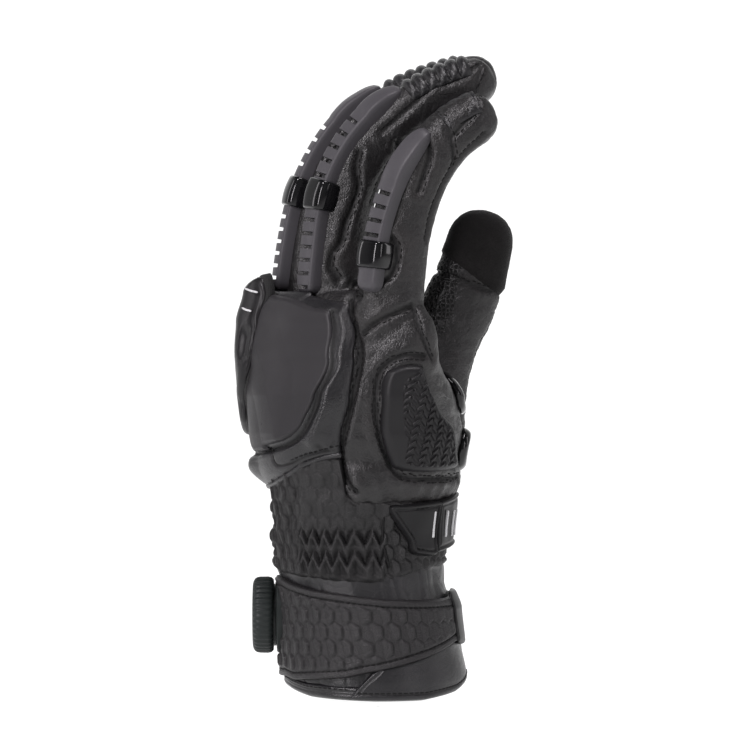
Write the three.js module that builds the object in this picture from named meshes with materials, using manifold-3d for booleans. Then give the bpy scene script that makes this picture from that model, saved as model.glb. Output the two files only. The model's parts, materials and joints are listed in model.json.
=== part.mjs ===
// A right-hand armoured riding glove standing on its cuff, with fingers pre-curved towards the palm.
// Millimetres, +Z up along the forearm. -X is the back of the hand, +X the palm,
// -Y the little-finger side and +Y the thumb side.
import * as THREE from "three";
import { mergeVertices } from "three/addons/utils/BufferGeometryUtils.js";
import Module from "manifold-3d";

const wasm = await Module();
wasm.setup();

// ---- driving dimensions ----
const WALL = 3; // leather, lining and foam together
const GAP = 0.3; // between touching pieces
const RIM_TOP = 5;
const CUFF_TOP = 55;
const GATHER_TOP = 92;
const HAND_TOP = 166; // height of the webs between the fingers
const RING_POINTS = 36;
const LAYER_STEP = 8; // height between the rings of a layer
const SECTION_POWER = 2.3; // 2 would be a plain ellipse
const FAR = 90; // beyond the glove on any side
const TOP = 300; // above the fingertips

// Outer sections of cuff, wrist and palm: height, centre x, half depth, half breadth, and how far
// the section bows towards the palm at its little-finger side and at its index side.
const SECTIONS = [
  [0, -1, 34, 46, 0, 0],
  [12, -1.5, 35.5, 45, 0, 0],
  [25, -2.7, 34.3, 43, 0, 0],
  [40, -3.7, 33.8, 41, 0, 0],
  [50, -6, 32.5, 39.5, 0, 0],
  [58, -7.5, 33.7, 38.8, 0, 0],
  [70, -8, 34.5, 38.5, 0, 0],
  [85, -7, 35, 40, 0, 0],
  [97, -6, 38, 43, 0, 0],
  [110, -6, 40, 46, 2, 0],
  [125, -8, 39, 48, 8, 2],
  [140, -12, 34, 48.5, 20, 5],
  [155, -17, 27, 48, 34, 8],
  [166, -20, 21, 47.5, 43, 10],
];

// Each finger: side position y, centre line as [x, z] points, half thickness at the root and at the
// tip, half breadth, heights of the knuckle and middle joints and of the guide clip, where the
// armour spine ends, and how far the spine is rolled towards the little-finger side.
const FINGERS = {
  index: {
    y: 36,
    line: [[-20, 150], [-17, 176], [-14, 200], [-7, 219], [4, 232], [15, 239], [28, 245], [42, 249]],
    root: 12, tip: 9.5, breadth: 11.6,
    knuckle: 176, middle: 219, clip: 199, spineEnd: 234, roll: -6,
  },
  middle: {
    y: 12,
    line: [
      [-28, 150], [-25, 180], [-20.5, 203], [-12, 221], [0, 235], [11, 242.5], [24, 248], [39, 252.5], [48, 254.5],
    ],
    root: 12.5, tip: 10, breadth: 11.6,
    knuckle: 180, middle: 221, clip: 203, spineEnd: 239, roll: 14,
  },
  ring: {
    y: -12,
    line: [[-18, 150], [-16, 178], [-12.5, 203], [-5, 220], [6, 233], [17, 241], [30, 247.5], [46.5, 252.5]],
    root: 12, tip: 9.5, breadth: 11.6,
    knuckle: 177, middle: 220, clip: 202, spineEnd: 238, roll: 34,
  },
  little: {
    y: -36,
    line: [[3, 145], [5.5, 170], [8.5, 190], [15, 209], [24, 223], [34, 231.5], [46, 237.5]],
    root: 13.6, tip: 10, breadth: 11.4,
    knuckle: 169, middle: 209, clip: 179, spineEnd: 226, roll: 50,
  },
};
const FINGER_BEND = 45; // degrees each finger joint closes from rest
const FINGER_OPEN = 6; // degrees each finger joint opens from rest
const SPINE_WIDTH = 11;
const SPINE_HEIGHT = 4;

// Thumb: centre line as [x, y, z], with half widths across the palm view and through the thumb.
const THUMB_LINE = [
  [12, 22, 92], [16, 27, 112], [21, 32, 133], [28, 36, 150], [36, 36, 168], [41.5, 34.5, 186], [44.5, 33, 200],
];
const THUMB_WIDE = [21, 20, 17, 15, 15, 13.5, 12];
const THUMB_DEEP = [19, 18, 15, 12.5, 12, 11.5, 10];
const THUMB_JOINTS = [[36, 150], [36, 168]]; // [y, z] of the base joint and the tip joint
const THUMB_BEND = 26;
const THUMB_OPEN = 4;
const THUMB_SIDE_X = 13.5; // the thumb's cuts start here, clear of the palm

// Reel on the back of the cuff.
const REEL_Z = 36.5;
const REEL_Y = 0;
const DIAL_RADIUS = 15.5;
const DIAL_THICK = 8.4;
const FLANGE_RADIUS = 15.2;
const HOUSING_RADIUS = 12.5;
const SPOOL_RADIUS = 7;
const LACE_RADIUS = 0.7;

// ---- solids and meshes ----
function solid(geometry) {
  const bare = geometry.index ? geometry.toNonIndexed() : geometry.clone();
  bare.deleteAttribute("normal");
  bare.deleteAttribute("uv");
  const merged = mergeVertices(bare, 1e-4);
  return new wasm.Manifold(
    new wasm.Mesh({
      numProp: 3,
      vertProperties: merged.attributes.position.array,
      triVerts: new Uint32Array(merged.index.array),
    }),
  );
}

function geometryOf(shape) {
  const mesh = shape.getMesh();
  const geometry = new THREE.BufferGeometry();
  geometry.setAttribute("position", new THREE.BufferAttribute(Float32Array.from(mesh.vertProperties), 3));
  geometry.setIndex(new THREE.BufferAttribute(Uint32Array.from(mesh.triVerts), 1));
  geometry.computeVertexNormals();
  return geometry;
}

function material(color, roughness, metalness = 0) {
  return new THREE.MeshStandardMaterial({ color, roughness, metalness });
}

const leather = material(0x1b1a1c, 0.5);
const fabric = material(0x141315, 0.9);
const armour = material(0x323135, 0.6);
const gloss = material(0x0a0a0b, 0.12);
const plastic = material(0x1c2020, 0.5);
const steel = material(0x9a9a9c, 0.35, 1);
const suede = material(0x211d1c, 0.95);

const glove = new THREE.Group();

function add(name, shape, look) {
  const mesh = new THREE.Mesh(shape.isBufferGeometry ? shape : geometryOf(shape), look);
  mesh.name = name;
  glove.add(mesh);
  return mesh;
}

// Rings of points, each turning anticlockwise about the way the rings run, joined into a closed skin.
function loft(rings) {
  const count = rings[0].length;
  const points = rings.flat();
  const faces = [];
  for (let ring = 0; ring + 1 < rings.length; ring++) {
    for (let i = 0; i < count; i++) {
      const here = ring * count + i;
      const next = ring * count + ((i + 1) % count);
      faces.push(here, next, next + count, here, next + count, here + count);
    }
  }
  for (const [start, turned] of [[0, true], [(rings.length - 1) * count, false]]) {
    const centre = new THREE.Vector3();
    for (let i = 0; i < count; i++) centre.addScaledVector(points[start + i], 1 / count);
    const hub = points.push(centre) - 1;
    for (let i = 0; i < count; i++) {
      const a = start + i;
      const b = start + ((i + 1) % count);
      faces.push(hub, turned ? b : a, turned ? a : b);
    }
  }
  const geometry = new THREE.BufferGeometry().setFromPoints(points);
  geometry.setIndex(faces);
  return geometry;
}

// A flat outline of [x, z] points, carried along Y from y0 to y1.
function prismY(outline, y0, y1) {
  const shape = new THREE.Shape(outline.map(([x, z]) => new THREE.Vector2(x, z)));
  const geometry = new THREE.ExtrudeGeometry(shape, { depth: y1 - y0, bevelEnabled: false });
  const turn = new THREE.Matrix4().makeBasis(
    new THREE.Vector3(1, 0, 0),
    new THREE.Vector3(0, 0, 1),
    new THREE.Vector3(0, -1, 0),
  );
  return solid(geometry.applyMatrix4(turn).translate(0, y1, 0));
}

// A flat outline of [y, z] points, carried along X from x0 to x1.
function prismX(outline, x0, x1) {
  const shape = new THREE.Shape(outline.map(([y, z]) => new THREE.Vector2(y, z)));
  const geometry = new THREE.ExtrudeGeometry(shape, { depth: x1 - x0, bevelEnabled: false });
  const turn = new THREE.Matrix4().makeBasis(
    new THREE.Vector3(0, 1, 0),
    new THREE.Vector3(0, 0, 1),
    new THREE.Vector3(1, 0, 0),
  );
  return solid(geometry.applyMatrix4(turn).translate(x0, 0, 0));
}

// A rounded disc or ring about the X axis, from an outline of [radius, x] points.
function turnedX(profile, y, z, steps = 40) {
  const points = profile.map(([radius, x]) => new THREE.Vector2(radius, x));
  const geometry = new THREE.LatheGeometry(points, steps);
  geometry.rotateZ(-Math.PI / 2);
  return solid(geometry.translate(0, y, z));
}

// ---- the body of the glove ----
const clamp = (value, low, high) => Math.min(high, Math.max(low, value));

function sectionAt(z) {
  const last = SECTIONS.length - 2;
  let at = 0;
  while (at < last && SECTIONS[at + 1][0] < z) at++;
  const share = clamp((z - SECTIONS[at][0]) / (SECTIONS[at + 1][0] - SECTIONS[at][0]), 0, 1);
  const ease = share * share * (3 - 2 * share) * 0.5 + share * 0.5;
  return SECTIONS[at].map((value, i) => value + (SECTIONS[at + 1][i] - value) * ease);
}

// One ring of the body's skin at height z, grown outwards by grow.
function bodyRing(z, grow) {
  const [, centre, depth, breadth, bowLittle, bowIndex] = sectionAt(z);
  const ring = [];
  for (let i = 0; i < RING_POINTS; i++) {
    const angle = (i / RING_POINTS) * 2 * Math.PI;
    const round = (value) => Math.sign(value) * Math.abs(value) ** (2 / SECTION_POWER);
    const y = (breadth + grow) * round(Math.sin(angle));
    const bow = (y < 0 ? bowLittle : bowIndex) * Math.min(1, Math.abs(y) / breadth) ** 2;
    ring.push(new THREE.Vector3(centre + bow + (depth + grow) * round(Math.cos(angle)), y, z));
  }
  return ring;
}

// Everything on the palm side of the surface that runs through the middle of the body.
function palmHalf(low, high) {
  const sides = Array.from({ length: 13 }, (_, i) => 60 - 10 * i);
  const layers = 1 + Math.round((high - low) / LAYER_STEP);
  const heights = Array.from({ length: layers }, (_, i) => low + i * LAYER_STEP);
  return solid(loft(heights.map((z) => {
    const [, centre, , breadth, bowLittle, bowIndex] = sectionAt(z);
    const middle = sides.map((y) => {
      const bow = (y < 0 ? bowLittle : bowIndex) * Math.min(1, Math.abs(y) / breadth) ** 2;
      return new THREE.Vector3(centre + bow, y, z);
    });
    return [...middle, new THREE.Vector3(FAR, -60, z), new THREE.Vector3(FAR, 60, z)];
  })));
}

// Layers share the same ring heights, so that one layer's facets follow the next one's.
function bodySolid(low, high, grow) {
  const heights = [low];
  for (let z = LAYER_STEP * Math.ceil((low + 1) / LAYER_STEP); z < high - 1; z += LAYER_STEP) heights.push(z);
  heights.push(high);
  return solid(loft(heights.map((z) => bodyRing(z, grow))));
}

// A hollow band of the body between two heights and two growths.
function bodyBand(low, high, inner, outer) {
  return bodySolid(low, high, outer).subtract(bodySolid(low - 1, high + 1, inner));
}

// ---- fingers and thumb as tubes with round tips ----
const ACROSS = new THREE.Vector3(0, 1, 0);

function frameAt(curve, share) {
  const centre = curve.getPointAt(share);
  const along = curve.getTangentAt(share);
  const palmar = new THREE.Vector3().crossVectors(ACROSS, along).normalize();
  const side = new THREE.Vector3().crossVectors(along, palmar);
  return { centre, along, palmar, side };
}

function tube(curve, sizeAt, grow, points = 18, steps = 9) {
  const length = curve.getLength();
  const tipSize = sizeAt(1)[0] + grow;
  const end = length + grow;
  const round = end - tipSize;
  const stations = [];
  for (let i = 0; i <= steps; i++) stations.push((round * i) / steps);
  for (const angle of [30, 55, 75]) {
    stations.push(round + tipSize * Math.sin(THREE.MathUtils.degToRad(angle)));
  }
  return solid(loft(stations.map((s) => {
    const { centre, along, palmar, side } = frameAt(curve, Math.min(1, s / length));
    centre.addScaledVector(along, Math.max(0, s - length));
    const fall = s > round ? Math.sqrt(1 - ((s - round) / tipSize) ** 2) : 1;
    const [thick, broad] = sizeAt(Math.min(1, s / length));
    return Array.from({ length: points }, (_, i) => {
      const angle = (i / points) * 2 * Math.PI;
      return centre.clone()
        .addScaledVector(palmar, (thick + grow) * fall * Math.cos(angle))
        .addScaledVector(side, (broad + grow) * fall * Math.sin(angle));
    });
  })));
}

function fingerCurve(finger) {
  return new THREE.CatmullRomCurve3(finger.line.map(([x, z]) => new THREE.Vector3(x, finger.y, z)));
}

function fingerSize(finger) {
  return (share) => {
    const thick = finger.root + (finger.tip - finger.root) * share ** 1.3;
    return [thick, finger.breadth - 1.2 * share ** 2];
  };
}

function shareAtHeight(curve, height) {
  let low = 0;
  let high = 1;
  for (let i = 0; i < 40; i++) {
    const middle = (low + high) / 2;
    if (curve.getPointAt(middle).z < height) low = middle;
    else high = middle;
  }
  return low;
}

const thumbCurve = new THREE.CatmullRomCurve3(THUMB_LINE.map((point) => new THREE.Vector3(...point)));

function thumbSize(share) {
  const place = share * (THUMB_WIDE.length - 1);
  const at = Math.min(THUMB_WIDE.length - 2, Math.floor(place));
  const mix = (list) => list[at] + (list[at + 1] - list[at]) * (place - at);
  return [mix(THUMB_WIDE), mix(THUMB_DEEP)];
}

// Cuts at a finger joint. Both sides slope back from the pivot, so that the joint can bend by
// close towards the palm and by open the other way.
const REACH = 17;
const PIVOT_CLEARANCE = 0.6;

function jointCut(pivot, palmar, along, close, open, upper) {
  const way = upper ? 1 : -1;
  const point = (across, degrees) => {
    const angle = THREE.MathUtils.degToRad(degrees);
    return [
      pivot[0] + REACH * (across * palmar[0] * Math.cos(angle) + way * along[0] * Math.sin(angle)),
      pivot[1] + REACH * (across * palmar[1] * Math.cos(angle) + way * along[1] * Math.sin(angle)),
    ];
  };
  return {
    back: point(-1, open / 2 + 1.5),
    pivot: [pivot[0] + way * PIVOT_CLEARANCE * along[0], pivot[1] + way * PIVOT_CLEARANCE * along[1]],
    palm: point(1, close / 2 + 1.5),
  };
}

// Everything beyond a cut, as an outline: used to end one piece and to start the next.
function beyond(cut) {
  return [cut.back, cut.pivot, cut.palm, [FAR, cut.palm[1]], [FAR, TOP], [-FAR, TOP], [-FAR, cut.back[1]]];
}

function between(low, high) {
  return [low.back, low.pivot, low.palm, high.palm, high.pivot, high.back];
}

const outerParts = [bodySolid(GATHER_TOP + GAP, HAND_TOP, 0)];
const innerParts = [bodySolid(GATHER_TOP - 2, HAND_TOP - WALL, -WALL)];
const fingerShells = {};
const handCuts = [];

for (const [name, finger] of Object.entries(FINGERS)) {
  const curve = fingerCurve(finger);
  const size = fingerSize(finger);
  const outer = tube(curve, size, 0);
  const inner = tube(curve, size, -WALL);
  outerParts.push(outer);
  innerParts.push(inner);
  const shell = outer.subtract(inner);
  const cutAt = (height, upper) => {
    const { centre, along, palmar } = frameAt(curve, shareAtHeight(curve, height));
    const flat = (vector) => [vector.x, vector.z];
    return jointCut(flat(centre), flat(palmar), flat(along), FINGER_BEND, FINGER_OPEN, upper);
  };
  const slab = [finger.y - 12, finger.y + 12];
  handCuts.push(prismY(beyond(cutAt(finger.knuckle, false)), ...slab));
  const proximal = between(cutAt(finger.knuckle, true), cutAt(finger.middle, false));
  fingerShells[name] = {
    curve,
    size,
    proximal: shell.intersect(prismY(proximal, ...slab)),
    distal: shell.intersect(prismY(beyond(cutAt(finger.middle, true)), ...slab)),
  };
}

// The thumb bends about X, so its cuts are outlines of [y, z] points with the palm side at low y.
const thumbOuter = tube(thumbCurve, thumbSize, 0, 20, 8);
const thumbInner = tube(thumbCurve, thumbSize, -WALL, 20, 8);
outerParts.push(thumbOuter);
innerParts.push(thumbInner);
const thumbShell = thumbOuter.subtract(thumbInner);

function thumbCut(joint, upper) {
  return jointCut(THUMB_JOINTS[joint], [-1, 0], [0, 1], THUMB_BEND, THUMB_OPEN, upper);
}

function thumbOutline(low, high) {
  const top = high ? [high.palm, high.pivot, high.back] : [[low.palm[0], TOP], [low.back[0], TOP]];
  return [low.back, low.pivot, low.palm, ...top];
}

handCuts.push(prismX(thumbOutline(thumbCut(0, false)), THUMB_SIDE_X, FAR));
const thumbMiddle = prismX(thumbOutline(thumbCut(0, true), thumbCut(1, false)), THUMB_SIDE_X, FAR);
const thumbProximal = thumbShell.intersect(thumbMiddle);
const thumbDistal = thumbShell.intersect(prismX(thumbOutline(thumbCut(1, true)), THUMB_SIDE_X, FAR));

const union = (parts) => parts.reduce((whole, part) => whole.add(part));
const handOuter = union(outerParts);
const wristZ = GATHER_TOP + GAP;
const wristPlane = prismY([[-FAR, wristZ], [FAR, wristZ], [FAR, TOP], [-FAR, TOP]], -FAR, FAR);
let handShell = handOuter.subtract(union(innerParts)).intersect(wristPlane);
for (const cut of handCuts) handShell = handShell.subtract(cut);
const largest = (shape) => shape.decompose().sort((a, b) => b.volume() - a.volume())[0];

// The hand is sewn from a back and a palm with the thumb, which meet in the side seams.
const palmPart = palmHalf(GATHER_TOP - LAYER_STEP, GATHER_TOP + 14 * LAYER_STEP);
add("hand_palm", largest(handShell.intersect(palmPart)), leather);
add("hand_back", largest(handShell.subtract(palmPart.translate([-GAP, 0, 0])).subtract(palmPart)), leather);

// ---- cuff and wrist ----
add("rim_binding", bodyBand(0, RIM_TOP - GAP, -WALL, 0.6), leather);
add("cuff_shell", bodyBand(RIM_TOP, CUFF_TOP - GAP, -WALL, 0), leather);
add("wrist_gather", bodyBand(CUFF_TOP, GATHER_TOP, -WALL, 0), fabric);
add("cuff_lining", bodyBand(2, GATHER_TOP - 1, -WALL - GAP - 1, -WALL - GAP), fabric);

// Closure strap: starts under the reel on the back, wraps the little-finger side, ends on the palm.
const STRAP = { inner: 0.4, outer: 2.8, radialEnd: 20 };
const strapOutline = [[-60, 10], [-3, 11], [15, 16], [60, 29], [60, 45], [5, 43], [-12, 45], [-60, 56]];
const strapRegion = prismY(strapOutline, -FAR, STRAP.radialEnd);
const cuffSleeve = (inner, outer, low = 3, high = 62) => bodyBand(low, high, inner, outer);
const plateRegion = prismY([[20, 22], [60, 22], [60, 46], [20, 46]], -2, 20 + GAP);
const reelDisc = (radius, x0, x1) => turnedX([[0, x0], [radius, x0], [radius, x1], [0, x1]], REEL_Y, REEL_Z);
const reelOpening = reelDisc(FLANGE_RADIUS + 1.3, -FAR, -20);
const strapSleeve = cuffSleeve(STRAP.inner, STRAP.outer);
add("closure_strap", strapSleeve.intersect(strapRegion).subtract(reelOpening), leather);
const plateSleeve = cuffSleeve(STRAP.outer + GAP, STRAP.outer + GAP + 1.6);
add("strap_end_plate", plateSleeve.intersect(plateRegion), plastic);

// Wrist strap round the palm side of the wrist, with a free tab that peels open.
const TAB_FROM_Y = -30;
const wristBand = bodyBand(58, 82, GAP, 2.4);
const bandOutline = [[-20, 59], [60, 61], [60, 81], [-20, 79]];
const strapSide = prismY(bandOutline, TAB_FROM_Y + 7, 42);
const palmSide = prismX([[-60, 50], [60, 50], [60, 90], [-60, 90]], 4, FAR);
const wristStrap = wristBand.intersect(strapSide).intersect(palmSide);
add("wrist_strap", largest(wristStrap), leather);
const tabPlate = bodyBand(58, 84, 1.2, 4.4);
const tabOutline = [[3, 79.5], [11, 60.5], [60, 62], [60, 82], [3, 82]];
const tabRegion = prismY(tabOutline, -FAR, TAB_FROM_Y + 7 - 2);
add("wrist_tab", largest(tabPlate.intersect(tabRegion)), leather);

// ---- armour and pads on the hand ----
const roots = union(Object.values(fingerShells).map(({ curve, size }) => tube(curve, size, GAP)));
const handLayer = (inner, outer) => bodyBand(GATHER_TOP + 2, HAND_TOP + 3, inner, outer).subtract(roots);

// Padded leather frame on the back, from the little-finger side round to the index side.
const padOutline = [[-80, 96], [-44, 95], [-12, 104], [-9, 128], [-9, 152], [-12, 163], [-80, 163]];
add("back_pad", largest(handLayer(GAP, 5).intersect(prismY(padOutline, -FAR, 40))), leather);

// Smooth moulded plate on its little-finger half.
const plateOutline = [
  [-80, 108], [-42, 108], [-27, 114], [-20, 128], [-18, 145], [-18, 158], [-34, 164], [-80, 164],
];
const plateSide = prismX([[-90, 90], [-17, 90], [-17, 170], [-90, 170]], -FAR, FAR);
const backPlate = handLayer(5 + GAP, 7.6).intersect(prismY(plateOutline, -FAR, FAR)).intersect(plateSide);
add("back_armour", largest(backPlate), armour);

// Hard knuckle shell across the middle, with the foam that backs it.
const knuckleOutline = [
  [-16.6, 112], [-4, 104], [16, 106], [33, 122], [36, 150], [28, 163], [10, 168], [-16.6, 166],
];
const backHalf = prismY([[-80, 90], [-20, 90], [-20, 180], [-80, 180]], -FAR, FAR);
const knuckleRegion = prismX(knuckleOutline, -FAR, FAR).intersect(backHalf);
add("knuckle_foam", largest(handLayer(5 + GAP, 7.2).intersect(knuckleRegion)), fabric);
add("knuckle_armour", largest(handLayer(7.2 + GAP, 10.4).intersect(knuckleRegion)), armour);

// Palm pads: a chevron-faced slider on the little-finger heel and two sliders at the thumb side.
const heelOutline = [[3, 102], [8, 94], [60, 96], [60, 140], [14, 140], [5, 132]];
add("heel_slider", largest(handLayer(GAP, 4).intersect(prismY(heelOutline, -FAR, -12))), armour);
const sliderAt = (y, z, radius) => {
  const disc = new THREE.CylinderGeometry(radius, radius, FAR, 28);
  disc.rotateZ(Math.PI / 2).translate(FAR / 2 + 5, y, z);
  return handLayer(GAP, 3.6).intersect(solid(disc));
};
add("palm_slider_lower", largest(sliderAt(0, 103, 9)), armour);
add("palm_slider_upper", largest(sliderAt(0, 126, 9)), armour);

// ---- fingers: leather segments, armour spines, guide clips and stretch ribs ----

// A bar that follows a finger at a roll angle, between two shares of its length.
function fingerBar(fingerShell, roll, from, to, width, lift, height, steps) {
  const angle = THREE.MathUtils.degToRad(roll);
  const rings = [];
  for (let i = 0; i <= steps; i++) {
    const share = from + ((to - from) * i) / steps;
    const { centre, palmar, side } = frameAt(fingerShell.curve, share);
    const [thick, broad] = fingerShell.size(share);
    const out = palmar.clone().multiplyScalar(-Math.cos(angle)).addScaledVector(side, -Math.sin(angle));
    const flat = palmar.clone().multiplyScalar(-Math.sin(angle)).addScaledVector(side, Math.cos(angle));
    const reach = Math.hypot(thick * Math.cos(angle), broad * Math.sin(angle)) + lift;
    const half = width / 2;
    const corner = Math.min(1.4, height / 3);
    const outline = [
      [half, 0], [half, height - corner], [half - corner, height],
      [corner - half, height], [-half, height - corner], [-half, 0],
    ];
    const place = ([across, up]) => centre.clone().addScaledVector(out, reach + up).addScaledVector(flat, across);
    rings.push(outline.map(place));
  }
  return solid(loft(rings));
}

const CLIP_HALF = 5.2; // along the finger
const CLIP_WALL = 1.5;

for (const [name, finger] of Object.entries(FINGERS)) {
  const shell = fingerShells[name];
  const length = shell.curve.getLength();
  const share = (height) => shareAtHeight(shell.curve, height);
  const clip = share(finger.clip);
  const clipFrom = clip - CLIP_HALF / length;
  const clipTo = clip + CLIP_HALF / length;
  const bar = (...sizes) => fingerBar(shell, finger.roll, ...sizes);
  add(`${name}_proximal`, largest(shell.proximal), leather);
  add(`${name}_distal`, largest(shell.distal), leather);
  const lowerFrom = share(finger.knuckle) + 2.2 / length;
  const upperFrom = Math.max(share(finger.middle) + 2.2 / length, clipTo + 0.5 / length);
  const lowerTo = share(finger.middle) - 2.2 / length;
  add(`${name}_spine_lower`, bar(lowerFrom, lowerTo, SPINE_WIDTH, GAP, SPINE_HEIGHT, 6), armour);
  const upperTo = share(finger.spineEnd);
  add(`${name}_spine_upper`, bar(upperFrom, upperTo, SPINE_WIDTH - 1, GAP, SPINE_HEIGHT - 0.8, 5), armour);
  const holeWidth = SPINE_WIDTH + 2 * GAP;
  const cover = bar(clipFrom, clipTo, holeWidth + 2 * CLIP_WALL, GAP, SPINE_HEIGHT + GAP + CLIP_WALL, 3);
  const hole = bar(clipFrom - 0.02, clipTo + 0.02, holeWidth, GAP - 0.6, SPINE_HEIGHT + GAP + 0.6, 3);
  add(`${name}_guide_clip`, largest(cover.subtract(hole)), gloss);
  const ribFrom = share(finger.spineEnd) + 4 / length;
  const ribTo = Math.min(0.93, ribFrom + 26 / length);
  add(`${name}_stretch_ribs`, fingerBar(shell, finger.roll * 0.4, ribFrom, ribTo, 13, GAP, 2.4, 5), leather);
}

add("thumb_proximal", largest(thumbProximal), leather);
add("thumb_distal", largest(thumbDistal), leather);
// Soft cap over the thumb's tip.
const capOuter = tube(thumbCurve, thumbSize, 1.4, 20, 8);
const capInner = tube(thumbCurve, thumbSize, GAP, 20, 8);
const capRegion = prismX([[0, 186], [80, 182], [80, TOP], [0, TOP]], THUMB_SIDE_X, FAR);
add("thumb_tip_cap", largest(capOuter.subtract(capInner).intersect(capRegion)), suede);

// ---- closure reel on the back of the cuff ----
const FLANGE_X = -40.6; // outermost face of the flange
const flange = reelDisc(FLANGE_RADIUS, FLANGE_X, -30).subtract(bodySolid(3, 62, GAP));
add("reel_flange", largest(flange), plastic);

const HOUSING_DEPTH = 5;
const housingX = FLANGE_X - GAP;
const spoolX = housingX - 1.2;
const housingProfile = [
  [3, housingX], [HOUSING_RADIUS, housingX], [HOUSING_RADIUS, housingX - HOUSING_DEPTH],
  [SPOOL_RADIUS + 0.5, housingX - HOUSING_DEPTH], [SPOOL_RADIUS + 0.5, spoolX], [3, spoolX],
];
add("reel_housing", turnedX([...housingProfile, housingProfile[0]].reverse(), REEL_Y, REEL_Z), plastic);
const spoolProfile = [
  [0, spoolX - GAP], [SPOOL_RADIUS, spoolX - GAP], [SPOOL_RADIUS, spoolX - 1.1], [5, spoolX - 1.6],
  [5, spoolX - 2.3], [SPOOL_RADIUS, spoolX - 2.8], [SPOOL_RADIUS, spoolX - 3.5], [0, spoolX - 3.5],
];
add("reel_spool", turnedX([...spoolProfile].reverse(), REEL_Y, REEL_Z), plastic);
// The clutch ring slides with the dial when it is pulled out, and leaves the spool free to turn.
const ringX = housingX - HOUSING_DEPTH - GAP;
const clutchProfile = [[4, ringX], [11, ringX], [11, ringX - 1], [4, ringX - 1], [4, ringX]];
add("reel_clutch", turnedX([...clutchProfile].reverse(), REEL_Y, REEL_Z), plastic);

// Dial: a cap with a grip of shallow flutes that covers clutch and housing.
function dialSolid() {
  const flutes = 30;
  const outline = [];
  for (let i = 0; i < flutes * 4; i++) {
    const angle = (i / (flutes * 4)) * 2 * Math.PI;
    const radius = DIAL_RADIUS + 0.35 * Math.cos(angle * flutes) - 0.35;
    outline.push(new THREE.Vector2(radius * Math.cos(angle), radius * Math.sin(angle)));
  }
  const shape = new THREE.Shape(outline);
  const geometry = new THREE.ExtrudeGeometry(shape, { depth: DIAL_THICK, bevelEnabled: false });
  geometry.rotateY(-Math.PI / 2).translate(dialX, REEL_Y, REEL_Z);
  const envelope = turnedX([
    [0, dialX - DIAL_THICK], [DIAL_RADIUS - 2, dialX - DIAL_THICK], [DIAL_RADIUS, dialX - DIAL_THICK + 1.6],
    [DIAL_RADIUS, dialX], [0, dialX],
  ], REEL_Y, REEL_Z);
  const hollow = turnedX([
    [0, ringX - 1 - GAP], [13.1, ringX - 1 - GAP], [13.1, dialX + 1], [0, dialX + 1],
  ], REEL_Y, REEL_Z);
  return solid(geometry).intersect(envelope).subtract(hollow);
}
const dialX = housingX - 1; // the dial's inner edge, just proud of the flange
add("reel_dial", largest(dialSolid()), plastic);

// Lace: a fine steel cable that leaves the reel, turns round a guide on the strap and comes back.
const ON_STRAP = STRAP.outer + GAP;
const GUIDE_Y = REEL_Y - 26;
const guideDisc = new THREE.CylinderGeometry(4.5, 4.5, FAR, 20)
  .rotateZ(Math.PI / 2)
  .translate(-FAR / 2 - 20, GUIDE_Y, REEL_Z);
add("lace_guide", largest(cuffSleeve(ON_STRAP, ON_STRAP + 2.4).intersect(solid(guideDisc))), plastic);

// The cuff's skin on the back at a side position, grown by lift.
function backX(y, z, lift) {
  const [, centre, depth, breadth] = sectionAt(z);
  const share = Math.abs(y) / (breadth + lift);
  return centre - (depth + lift) * (1 - share ** SECTION_POWER) ** (1 / SECTION_POWER);
}

function laceLoop() {
  const lift = ON_STRAP + 2.4 + GAP + LACE_RADIUS;
  const near = DIAL_RADIUS + 1.5;
  const upper = [[near, 4], [near + 2.5, 4.2], [near + 6.5, 4.6], [31.5, 3]];
  const lower = upper.map(([y, z]) => [y, -z]).reverse();
  const points = [...upper, [32.5, 0], ...lower].map(([y, z]) => (
    new THREE.Vector3(backX(y, REEL_Z + z, lift) - 0.4, REEL_Y - y, REEL_Z + z)
  ));
  const outline = Array.from({ length: 8 }, (_, i) => {
    const angle = (i * Math.PI) / 4;
    return new THREE.Vector2(LACE_RADIUS * Math.cos(angle), LACE_RADIUS * Math.sin(angle));
  });
  const path = new THREE.CatmullRomCurve3(points);
  const options = { steps: 34, extrudePath: path, bevelEnabled: false };
  return solid(new THREE.ExtrudeGeometry(new THREE.Shape(outline), options));
}
add("lace", laceLoop(), steel);

// ---- the origin is the middle of the footprint ----
const box = new THREE.Box3().setFromObject(glove);
glove.position.set(-(box.min.x + box.max.x) / 2, -(box.min.y + box.max.y) / 2, -box.min.z);

export default glove;
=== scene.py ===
"""Looks of the armoured riding glove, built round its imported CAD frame.

Sizes are in millimetres in the glove's own design frame: z is up along the forearm, -x the back of
the hand, +x the palm, -y the little-finger side. to_frame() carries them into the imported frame.
"""

import json
import math

import bpy
import numpy as np
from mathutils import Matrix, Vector, noise
from mathutils.bvhtree import BVHTree
from mathutils.kdtree import KDTree

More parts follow.
